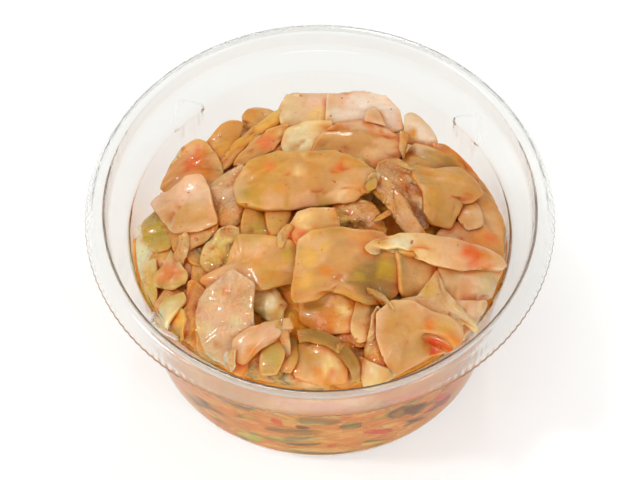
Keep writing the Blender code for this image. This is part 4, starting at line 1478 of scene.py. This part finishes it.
class CabbageStageSettings(bpy.types.PropertyGroup):
    """The floor, the lamps and the camera."""

    floor_size: FloatProperty(
        name="Floor size", description="Width of the floor", default=6.0, unit="LENGTH")
    floor_colour: FloatVectorProperty(
        name="Floor colour", description="Colour of the floor", subtype="COLOR", size=3,
        default=(0.62, 0.62, 0.61), min=0.0, max=1.0)
    floor_glow: FloatProperty(
        name="Floor glow", description="Light that the pale floor gives off", default=0.42,
        min=0.0)
    sky: FloatProperty(
        name="Sky", description="Strength of the light from all round", default=0.66, min=0.0)
    key: FloatProperty(
        name="Key", description="Strength of the main lamp", default=2.1, min=0.0)
    fill: FloatProperty(
        name="Fill", description="Strength of the lamp on the right", default=0.9, min=0.0)
    back: FloatProperty(
        name="Back", description="Strength of the lamp at the back", default=1.0, min=0.0)
    front: FloatProperty(
        name="Front", description="Strength of the low lamp at the front", default=3.0, min=0.0)
    distance: FloatProperty(
        name="Distance", description="From the camera to the cup's rim", default=0.6,
        unit="LENGTH")
    elevation: FloatProperty(
        name="Elevation", description="How far the camera stands above level",
        default=math.radians(55.5), subtype="ANGLE")
    aim: FloatProperty(
        name="Aim", description="How far the camera turns below the rim's middle",
        default=math.radians(0.754), subtype="ANGLE")
    lens: FloatProperty(
        name="Lens", description="Focal length in millimetres", default=158.1, min=1.0)


# Operators

def finished(thing):
    """Puts a finished food or cup piece on the part's body."""
    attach(thing, "root")


class CABBAGE_OT_cup(bpy.types.Operator):
    """Add the clear cup with its rolled rim, fluted skirt and stacking lugs"""

    bl_idname = "cabbage_bowl.cup"
    bl_label = "Clear cup"

    def execute(self, context):
        cup = context.scene.cabbage_cup
        skin = bmesh.new()
        trail = [skin.verts.new((radius * MM, 0.0, height * MM))
                 for radius, height in self.outline()]
        for first, second in zip(trail, trail[1:]):
            skin.edges.new((first, second))
        bmesh.ops.spin(skin, geom=skin.verts[:] + skin.edges[:], cent=(0, 0, 0),
                       axis=(0, 0, 1), angle=math.tau, steps=cup.segments, use_merge=True)
        bmesh.ops.remove_doubles(skin, verts=skin.verts, dist=0.000005)
        bmesh.ops.recalc_face_normals(skin, faces=skin.faces)
        skin.normal_update()
        if sum(face.normal.z for face in skin.faces if face.calc_center_median().z < MM) > 0.0:
            bmesh.ops.reverse_faces(skin, faces=skin.faces)
        for vertex in skin.verts:
            vertex.co = self.pressed(vertex.co, cup)
        mesh = bpy.data.meshes.new("clear_cup")
        skin.to_mesh(mesh)
        skin.free()
        shown = new_object("clear_cup", mesh)
        shell = shown.modifiers.new("sheet", "SOLIDIFY")
        shell.thickness = cup.wall
        shell.offset = -1.0
        mesh.shade_smooth()
        mesh.materials.append(plastic_material(cup))
        mesh.materials.append(rim_material(cup))
        for face in mesh.polygons:
            from_edge = abs(self.past_lug(face.center / MM)[0] - LUG_EDGE / 2)
            face.material_index = int(face.center.z > RIM_HAZE_HEIGHT * MM
                                      or from_edge < LUG_LINE)
        finished(shown)
        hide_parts("cup")
        return {"FINISHED"}

    @staticmethod
    def outline():
        """The turned outline from the skirt's edge over the rim and down to the axis."""
        corners = (
            (SKIRT_RADIUS - WALL, SKIRT_HEIGHT, 0.0),
            (SKIRT_RADIUS - WALL - 0.35, SKIRT_HEIGHT + 0.9, 0.35),
            (RIM_OUTER_RADIUS, CUP_HEIGHT - WALL, 0.8),
            (RIM_INNER_RADIUS, CUP_HEIGHT - WALL, 0.5),
            (COLLAR_RADIUS, COLLAR_HEIGHT, 0.8),
            (SHOULDER_RADIUS, SHOULDER_HEIGHT, 1.0),
            (BASE_RADIUS - 0.3, 0.0, BASE_CORNER),
            (0.0, 0.0, 0.0),
        )
        rounded = []
        for index, (radius, height, rounding) in enumerate(corners):
            corner = Vector((radius, height))
            if rounding == 0.0:
                rounded.append(corner)
                continue
            before = (Vector(corners[index - 1][:2]) - corner).normalized() * rounding
            after = (Vector(corners[index + 1][:2]) - corner).normalized() * rounding
            for step in range(CORNER_STEPS + 1):
                share = step / CORNER_STEPS
                rounded.append(corner + before * (1.0 - share) ** 2 + after * share ** 2)
        points = [rounded[0]]
        for point in rounded[1:]:
            gap = point - points[-1]
            above = (points[-1].y + point.y) / 2 > SHOULDER_HEIGHT - FINE_BELOW
            spacing = PROFILE_STEP if above else PROFILE_STEP * PLAIN_STEPS
            pieces = max(1, math.ceil(gap.length / spacing))
            start = points[-1]
            points += [start + gap * (share + 1) / pieces for share in range(pieces)]
        return [tuple(point) for point in points]

    @staticmethod
    def pressed(place, cup):
        """A point of the skin after the flutes and lugs are pressed into the sheet."""
        point = place / MM
        radius = math.hypot(point.x, point.y)
        if radius == 0.0:
            return place
        azimuth = math.atan2(point.y, point.x)
        out = Vector((point.x / radius, point.y / radius, 0.0))
        if radius > RIM_OUTER_RADIUS and point.z < FLUTE_TOP:
            depth = smooth((FLUTE_TOP - point.z) / 1.0) * cup.flute_depth / MM
            point -= out * depth * (0.5 - 0.5 * math.cos(azimuth * cup.flutes))
        past, slope = CABBAGE_OT_cup.past_lug(point)
        rise = smooth((LUG_EDGE - past) / LUG_EDGE) * LUG_RISE
        rise *= 1.0 - LUG_FADED * smooth((SHOULDER_HEIGHT - point.z) / LUG_FADE)
        point += (-out * math.sin(slope) + Vector((0, 0, math.cos(slope)))) * rise
        return point * MM

    @staticmethod
    def past_lug(point):
        """How far a point of the skin is past the nearest lug's top, and the skin's slope."""
        slope = math.atan2(COLLAR_HEIGHT - SHOULDER_HEIGHT, COLLAR_RADIUS - SHOULDER_RADIUS)
        radius = math.hypot(point.x, point.y)
        if radius > RIM_INNER_RADIUS or not LUG_LOWEST < point.z < LUG_HIGHEST:
            return math.inf, slope
        up = ((radius - SHOULDER_RADIUS) * math.cos(slope)
              + (point.z - SHOULDER_HEIGHT) * math.sin(slope))
        nearest = math.inf
        for angle in LUG_ANGLES:
            turn = math.atan2(point.y, point.x) - math.radians(angle)
            if math.cos(turn) > 0.0:
                side = math.sin(turn) * radius
                diamond = (abs(side) + abs(up)) / math.sqrt(2.0)
                soft = max(diamond, LUG_ROUNDING * math.hypot(side, up))
                nearest = min(nearest, soft - LUG_HALF)
        return nearest, slope


class CABBAGE_OT_core(bpy.types.Operator):
    """Add the oil and crumbs that the pieces lie in, pressed out to the cup's wall"""

    bl_idname = "cabbage_bowl.core"
    bl_label = "Oil and crumbs"

    def execute(self, context):
        food = context.scene.cabbage_food
        core = bmesh.new()
        bmesh.ops.create_uvsphere(core, u_segments=CORE_SIDES, v_segments=CORE_RINGS,
                                  radius=1.0)
        tone = core.verts.layers.float_color.new("tone")
        for vertex in core.verts:
            point, colour = self.placed(vertex.co)
            vertex.co = point * MM
            vertex[tone] = (*colour, 1.0)
        mesh = bpy.data.meshes.new("oil_and_crumbs")
        core.to_mesh(mesh)
        core.free()
        shown = new_object("oil_and_crumbs", mesh)
        mesh.shade_smooth()
        mesh.materials.append(oil_material(food))
        finished(shown)
        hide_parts("cabbage")
        return {"FINISHED"}

    @staticmethod
    def placed(place):
        """Point and colour of the core for a point of the ball it is drawn from."""
        azimuth = math.atan2(place.y, place.x)
        share = math.acos(max(-1.0, min(1.0, -place.z))) / math.pi
        out = Vector((math.cos(azimuth), math.sin(azimuth)))
        edge = out * food_radius(SHOULDER_HEIGHT)
        swell = noise.noise(Vector((out.x, out.y, CORE_SWELLS)) * CORE_SWELLS)
        top = min(heap_height(*edge) - CORE_DEPTH, SHOULDER_HEIGHT - CORE_TOP_SPARE) + swell
        drawn_in = BITE - OIL_BITE
        if share < FLOOR_SHARE:
            height = WALL - OIL_BITE
            radius = (BASE_RADIUS - BASE_CORNER) * share / FLOOR_SHARE
        elif share < FLOOR_SHARE + WALL_SHARE:
            climb = (share - FLOOR_SHARE) / WALL_SHARE
            height = WALL + (top - WALL) * climb
            radius = food_radius(height) - drawn_in
        else:
            left = (1.0 - share) / (1.0 - FLOOR_SHARE - WALL_SHARE)
            radius = (food_radius(top) - drawn_in) * left
            lumps = clouds(Vector((out.x * radius, out.y * radius, 0.0)) * LUMP_SCALE)
            lump_share = smooth((1.0 - left) * LUMP_FADE)
            surface = heap_height(*(out * radius)) - CORE_DEPTH + LUMP_HEIGHT * lumps
            height = top + (surface - top) * lump_share
        point = Vector((out.x * radius, out.y * radius, height))
        cloud = clouds(point * CORE_CLOUDS)
        return point, linear("oil").lerp(linear("amber"), smooth(0.5 + cloud))


def pile_in_cup(context):
    """The pile of all the food that is in the cup so far."""
    pile = Pile()
    for thing in context.scene.objects:
        if is_food(thing):
            for vertex in thing.data.vertices:
                pile.lay(vertex.co / MM)
    return pile


def show_food(name, mesh, material):
    """Makes a food object of a mesh that holds whole pieces."""
    shown = new_object(name, mesh)
    soften(shown)
    mesh.materials.append(material)
    finished(shown)
    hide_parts("cabbage")


class CABBAGE_OT_buried_pieces(bpy.types.Operator):
    """Add the plain pieces that show between and behind the others"""

    bl_idname = "cabbage_bowl.buried_pieces"
    bl_label = "Buried pieces"

    def execute(self, context):
        food = context.scene.cabbage_food
        draw = random.Random(FILL_SEED)
        pile = pile_in_cup(context)
        mesh = bpy.data.meshes.new("buried_pieces")
        pieces = [piece for piece in (*self.lower_pieces(draw), *fill_pieces())
                  if piece.y < LEFT_SHORT or piece.x - piece.length / 2 > LEFT_EDGE]
        for index, piece in enumerate(pieces):
            look = Look("slabs", draw.choice(FILL_TONES), draw.choice(FILL_TONES),
                        draw.uniform(0, 360), "orange", wet=draw.uniform(0.0, 0.8))
            make_piece(mesh, piece, look, FILL_FIRST_SEED + index * SEED_STEP, food, pile)
        show_food("buried_pieces", mesh,
                  cabbage_material("buried cabbage", food, 1100.0, 0.0010))
        return {"FINISHED"}

    @staticmethod
    def lower_pieces(draw):
        """Pieces that close the gaps lower down, and a ring of them along the wall."""
        for _ in range(LOWER_COUNT):
            azimuth = draw.uniform(0.0, math.tau)
            radius = reach(azimuth) * math.sqrt(draw.random())
            yield Piece("lower", *polar(radius, azimuth), draw.uniform(-2.0, -1.0),
                        draw.uniform(11, 17), draw.uniform(7, 12), yaw=draw.uniform(0, 180),
                        pitch=draw.uniform(-12, 12), roll=draw.uniform(-12, 12), wave=1.0,
                        cells=(4, 3))
        for index in range(RING_COUNT):
            share = (index + draw.uniform(-0.3, 0.3)) / (RING_COUNT - 1)
            azimuth = math.radians(RING_FIRST + (RING_LAST - RING_FIRST) * share)
            radius = draw.uniform(36.0, 38.5)
            yield Piece("ring", *polar(radius, azimuth), draw.uniform(-1.2, 0.0),
                        draw.uniform(7, 13), draw.uniform(5, 9),
                        yaw=math.degrees(azimuth) + 90 + draw.uniform(-35, 35),
                        pitch=draw.uniform(-16, 16), roll=draw.uniform(-12, 12), wave=0.9,
                        cells=(4, 3))


class CABBAGE_OT_named_pieces(bpy.types.Operator):
    """Add the pieces that lie on top of the heap, one object for each kind"""

    bl_idname = "cabbage_bowl.named_pieces"
    bl_label = "Pieces on top"

    def execute(self, context):
        food = context.scene.cabbage_food
        pile = pile_in_cup(context)
        meshes = {name: bpy.data.meshes.new(kind.title) for name, kind in KINDS.items()}
        for index, piece in enumerate(PIECES):
            look = LOOKS[piece.name]
            make_piece(meshes[look.kind], piece, look, index * SEED_STEP, food, pile)
        finishes = {
            "slabs": cabbage_material("thick cabbage flesh", food, 1600.0, 0.0005),
            "leaves": cabbage_material("soft cabbage leaf", food, 1300.0, 0.0010),
            "strips": cabbage_material("cabbage strip", food, 1600.0, 0.0007),
        }
        for name, mesh in meshes.items():
            show_food(KINDS[name].title, mesh, finishes[name])
        return {"FINISHED"}


class CABBAGE_OT_shreds(bpy.types.Operator):
    """Add small wet shreds where gaps are left between the pieces"""

    bl_idname = "cabbage_bowl.shreds"
    bl_label = "Shreds in the gaps"

    def execute(self, context):
        food = context.scene.cabbage_food
        draw = random.Random(SHRED_SEED)
        pile = pile_in_cup(context)
        mesh = bpy.data.meshes.new("wet_shreds")
        for index in range(food.shreds):
            azimuth = draw.uniform(0.0, math.tau)
            radius = (reach(azimuth) - SHRED_EDGE * math.sin(azimuth)) * math.sqrt(draw.random())
            x, y = polar(radius, azimuth)
            length = draw.uniform(4.0, 9.0)
            yaw, pitch, roll = draw.uniform(0, 180), draw.uniform(-25, 25), draw.uniform(-25, 25)
            look = Look("leaves", draw.choice(SHRED_TONES), draw.choice(SHRED_TONES), 0.0,
                        "orange", wet=draw.uniform(0.3, 1.0))
            if any(inside(piece.outline, x, y) for piece in PIECES):
                continue
            low = pile.at(x, y) - heap_height(x, y)
            shred = Piece("shred", x, y, low + SHRED_LIFT, length, length * draw.uniform(0.25, 0.5),
                          yaw=yaw, pitch=pitch, roll=roll, thick=draw.uniform(1.0, 1.6),
                          wave=1.6, ragged=0.25, square=0.9)
            make_piece(mesh, shred, look, SHRED_FIRST_SEED + index * SEED_STEP, food, pile)
        show_food("wet_shreds", mesh, cabbage_material("wet shreds", food, 1200.0, 0.0012))
        return {"FINISHED"}


class CABBAGE_OT_wall_pieces(bpy.types.Operator):
    """Add the pieces that lie flat against the inside of the clear wall"""

    bl_idname = "cabbage_bowl.wall_pieces"
    bl_label = "Pieces at the wall"

    def execute(self, context):
        food = context.scene.cabbage_food
        mesh = bpy.data.meshes.new("pieces_at_wall")
        pressed = [*PRESSED, *wall_pieces()]
        for index, (piece, look) in enumerate(pressed):
            flat = replace(piece, thick=3.0, square=1.0, wave=0.0, cells=(6, 2))
            inward = (BITE - OIL_BITE) * 0.9 * index / len(pressed)
            make_wall_piece(mesh, flat, look, WALL_FIRST_SEED + index * SEED_STEP, inward,
                            food)
        show_food("pieces_at_wall", mesh,
                  cabbage_material("pressed cabbage", food, 500.0, 0.0002, 0.0))
        return {"FINISHED"}


def food_tree(context):
    """A search tree over the food, with its objects, faces and corner colours."""
    things = [thing for thing in context.scene.objects if is_food(thing)]
    points, faces, tones = [], [], []
    for thing in things:
        first = len(points)
        points += [vertex.co.copy() for vertex in thing.data.vertices]
        tones += [Vector(tone.color[:3]) for tone in thing.data.attributes["tone"].data]
        faces += [[first + corner for corner in face.vertices] for face in thing.data.polygons]
    return BVHTree.FromPolygons(points, faces), things, faces, tones


class CABBAGE_OT_oil_and_painted_shade(bpy.types.Operator):
    """Darken and orange the colour where pieces lie close together, as oil in the gaps and painted
    shade, and let colours show through thin edges
    """

    bl_idname = "cabbage_bowl.oil"
    bl_label = "Oil in the gaps"

    def execute(self, context):
        food = context.scene.cabbage_food
        tree, things, faces, tones = food_tree(context)
        rays = self.rays()
        for thing in things:
            data = thing.data.attributes
            thin = data["thin"].data if "thin" in data else None
            wet = data["wet"].data if "wet" in data else None
            normals = thing.data.vertex_normals
            for index, vertex in enumerate(thing.data.vertices):
                upright = normals[index].vector
                tone = data["tone"].data[index]
                colour = Vector(tone.color[:3])
                if thin is not None and upright.z > 0.0:
                    start = vertex.co - upright * SHEET_DEPTH * MM
                    _, _, face, _ = tree.ray_cast(start, -upright, BELOW_REACH * MM)
                    if face is not None:
                        below = sum((tones[corner] for corner in faces[face]), Vector())
                        below *= 1.0 / len(faces[face])
                        colour = colour.lerp(below, thin[index].value * food.see_through)
                share = self.oil_and_shade_share(tree, vertex.co, upright, rays, food)
                # Painted shade: a closed-in place is darkened and turned orange, standing for oil
                # in the gap and for the shade that falls there.
                tone.color = (colour.x * RED_LEFT ** share, colour.y * GREEN_LEFT ** share,
                              colour.z * BLUE_LEFT ** share, 1.0)
                if wet is not None:
                    wet[index].value = min(1.0, wet[index].value + WET_IN_GAPS * share)
        return {"FINISHED"}

    @staticmethod
    def rays():
        """Directions spread over the half-ball above a face."""
        spread = []
        for index in range(RAY_COUNT):
            height = LOWEST_RAY + (1.0 - LOWEST_RAY) * (index + 0.5) / RAY_COUNT
            azimuth = index * math.pi * (3.0 - math.sqrt(5.0))
            flat = math.sqrt(1.0 - height * height)
            spread.append(Vector((*polar(flat, azimuth), height)))
        return spread

    @staticmethod
    def oil_and_shade_share(tree, place, upright, rays, food):
        """How closed in a place is, from 0 to 1, which sets how much oil tint and painted shade
        darken it.
        """
        turn = Vector((0.0, 0.0, 1.0)).rotation_difference(upright)
        start = place + upright * RAY_START * MM
        closed = 0.0
        for ray in rays:
            hit = tree.ray_cast(start, turn @ ray, food.gap_reach)
            if hit[0] is not None:
                closed += 1.0 - hit[3] / food.gap_reach
        return smooth((closed / len(rays) - OPEN_SHARE) / CLOSED_SPAN) * food.oil_and_shade_in_gaps


class CABBAGE_OT_toppings(bpy.types.Operator):
    """Scatter chili flakes and oil drops over the heap"""

    bl_idname = "cabbage_bowl.toppings"
    bl_label = "Flakes and drops"

    def execute(self, context):
        food = context.scene.cabbage_food
        tree = food_tree(context)[0]
        draw = random.Random(TOPPING_SEED)
        flakes = self.scatter(tree, draw, food.flakes, self.flake)
        self.finish("chili_flakes", flakes, flake_material())
        drops = self.scatter(tree, draw, food.drops, self.drop)
        nodes = Nodes("oil drop")
        shader = nodes.add("ShaderNodeBsdfPrincipled", {}, {
            "Base Color": nodes.mixed(nodes.noise(80.0), paint("amber"),
                                      paint("red_orange")),
            "Roughness": 0.04, "IOR": 1.47, "Subsurface Weight": 0.6,
            "Subsurface Radius": (1.0, 0.5, 0.2), "Subsurface Scale": 0.001,
            "Coat Weight": 1.0, "Coat Roughness": 0.02})
        self.finish("oil_drops", drops, nodes.show(shader))
        return {"FINISHED"}

    @staticmethod
    def scatter(tree, draw, count, shape):
        """Shapes laid where the heap faces up, as one mesh."""
        whole = bmesh.new()
        for _ in range(count):
            radius = TOPPING_REACH * math.sqrt(draw.random())
            azimuth = draw.uniform(0.0, math.tau)
            start = Vector((*polar(radius, azimuth), ABOVE_HEAP)) * MM
            place, normal, _, _ = tree.ray_cast(start, Vector((0.0, 0.0, -1.0)))
            spin = Matrix.Rotation(draw.uniform(0.0, math.tau), 4, "Z")
            before = len(whole.verts)
            shape(whole, draw)
            whole.verts.ensure_lookup_table()
            if place is None:
                continue
            lean = Vector((0.0, 0.0, 1.0)).rotation_difference(normal).to_matrix().to_4x4()
            bmesh.ops.transform(whole, matrix=Matrix.Translation(place) @ lean @ spin,
                                verts=whole.verts[before:])
        return whole

    @staticmethod
    def flake(whole, draw):
        """A thin, curled, ragged chip of dried chili."""
        size = draw.uniform(0.35, 0.8) * MM
        made = bmesh.ops.create_circle(whole, cap_ends=True, segments=7, radius=size)["verts"]
        width, curl = draw.uniform(0.5, 0.9), draw.uniform(0.1, 0.35)
        for vertex in made:
            rough = draw.uniform(0.6, 1.1)
            x, y = vertex.co.x * rough, vertex.co.y * width * rough
            vertex.co = Vector((x, y, 0.00008 + curl * x * x / size))
        faces = {face for vertex in made for face in vertex.link_faces}
        bmesh.ops.solidify(whole, geom=list(faces), thickness=0.00014)

    @staticmethod
    def drop(whole, draw):
        """A low round drop of oil."""
        size = draw.uniform(0.16, 0.5) ** 1.2 * MM
        flat = draw.uniform(0.35, 0.6)
        made = bmesh.ops.create_icosphere(whole, subdivisions=1, radius=size)["verts"]
        bmesh.ops.scale(whole, verts=made, vec=Vector((1.0, draw.uniform(0.6, 1.0), flat)))

    @staticmethod
    def finish(name, whole, material):
        """Makes an object of a scattered mesh."""
        bmesh.ops.recalc_face_normals(whole, faces=whole.faces)
        mesh = bpy.data.meshes.new(name)
        whole.to_mesh(mesh)
        whole.free()
        show_food(name, mesh, material)


class CABBAGE_OT_stage(bpy.types.Operator):
    """Add the pale floor, the soft lamps and the camera"""

    bl_idname = "cabbage_bowl.stage"
    bl_label = "Stage"

    def execute(self, context):
        stage = context.scene.cabbage_stage
        floor = bmesh.new()
        bmesh.ops.create_grid(floor, x_segments=1, y_segments=1, size=stage.floor_size / 2)
        mesh = bpy.data.meshes.new("floor")
        floor.to_mesh(mesh)
        floor.free()
        shown = new_object("floor", mesh)
        mesh.materials.append(floor_material(stage))
        self.add_lamp("key lamp", (-0.50, -0.10, 0.70), 0.07, stage.key)
        self.add_lamp("fill lamp", (0.50, -0.50, 0.70), 0.07, stage.fill)
        self.add_lamp("back lamp", (0.10, 0.75, 0.45), 0.08, stage.back)
        self.add_lamp("front lamp", (0.0, -0.90, 0.22), 0.60, stage.front)
        self.add_sky(context, stage)
        self.add_camera(context, stage)
        return {"FINISHED"}

    @staticmethod
    def add_lamp(name, place, size, power):
        """A square soft lamp that faces the middle of the heap."""
        lamp = bpy.data.lights.new(name, "AREA")
        lamp.shape = "SQUARE"
        lamp.size = size
        lamp.energy = power
        holder = bpy.data.objects.new(name, lamp)
        bpy.context.scene.collection.objects.link(holder)
        way = Vector((0.0, 0.0, 0.03)) - Vector(place)
        turn = way.to_track_quat("-Z", "Y").to_matrix().to_4x4()
        holder.matrix_world = Matrix.Translation(place) @ turn

    @staticmethod
    def add_sky(context, stage):
        """Even pale light from all round."""
        world = bpy.data.worlds.new("studio")
        world.use_nodes = True
        ground = world.node_tree.nodes["Background"]
        ground.inputs["Color"].default_value = (1.0, 1.0, 1.0, 1.0)
        ground.inputs["Strength"].default_value = stage.sky
        context.scene.world = world
        context.scene.view_settings.view_transform = "Standard"

    @staticmethod
    def add_camera(context, stage):
        """The camera, above the front and turned down to the heap."""
        lens = bpy.data.cameras.new("camera")
        lens.lens = stage.lens
        lens.clip_start = 0.01
        holder = bpy.data.objects.new("camera", lens)
        context.scene.collection.objects.link(holder)
        holder.location = (0.0, -stage.distance * math.cos(stage.elevation),
                           CUP_HEIGHT * MM + stage.distance * math.sin(stage.elevation))
        holder.rotation_euler = (math.pi / 2 - stage.elevation - stage.aim, 0.0, 0.0)
        context.scene.camera = holder


class CABBAGE_PT_panel(bpy.types.Panel):
    """Lists the steps that build the bowl"""

    bl_label = "Chili oil cabbage"
    bl_idname = "CABBAGE_PT_panel"
    bl_space_type = "VIEW_3D"
    bl_region_type = "UI"
    bl_category = "Cabbage"

    def draw(self, context):
        for operator in OPERATORS:
            self.layout.operator(operator.bl_idname)
        for group in (context.scene.cabbage_cup, context.scene.cabbage_food,
                      context.scene.cabbage_stage):
            box = self.layout.box()
            for name in group.bl_rna.properties.keys():
                if name not in ("rna_type", "name"):
                    box.prop(group, name)


OPERATORS = (CABBAGE_OT_cup, CABBAGE_OT_core, CABBAGE_OT_buried_pieces,
             CABBAGE_OT_named_pieces, CABBAGE_OT_shreds, CABBAGE_OT_oil_and_painted_shade,
             CABBAGE_OT_wall_pieces, CABBAGE_OT_toppings, CABBAGE_OT_stage)
SETTINGS = (CabbageCupSettings, CabbageFoodSettings, CabbageStageSettings)


def register():
    """Registers the settings, the operators and the panel, and seeds the vector noise."""
    noise.seed_set(NOISE_SEED)
    for group in (*SETTINGS, *OPERATORS, CABBAGE_PT_panel):
        bpy.utils.register_class(group)
    bpy.types.Scene.cabbage_cup = PointerProperty(type=CabbageCupSettings)
    bpy.types.Scene.cabbage_food = PointerProperty(type=CabbageFoodSettings)
    bpy.types.Scene.cabbage_stage = PointerProperty(type=CabbageStageSettings)


def unregister():
    """Takes the add-on's classes and settings out again."""
    del bpy.types.Scene.cabbage_cup
    del bpy.types.Scene.cabbage_food
    del bpy.types.Scene.cabbage_stage
    for group in reversed((*SETTINGS, *OPERATORS, CABBAGE_PT_panel)):
        bpy.utils.unregister_class(group)


def main():
    """Builds everything in order."""
    register()
    bpy.ops.cabbage_bowl.cup()
    bpy.ops.cabbage_bowl.core()
    bpy.ops.cabbage_bowl.buried_pieces()
    bpy.ops.cabbage_bowl.named_pieces()
    bpy.ops.cabbage_bowl.shreds()
    bpy.ops.cabbage_bowl.oil()
    bpy.ops.cabbage_bowl.wall_pieces()
    bpy.ops.cabbage_bowl.toppings()
    bpy.ops.cabbage_bowl.stage()


if __name__ == "__main__":
    main()
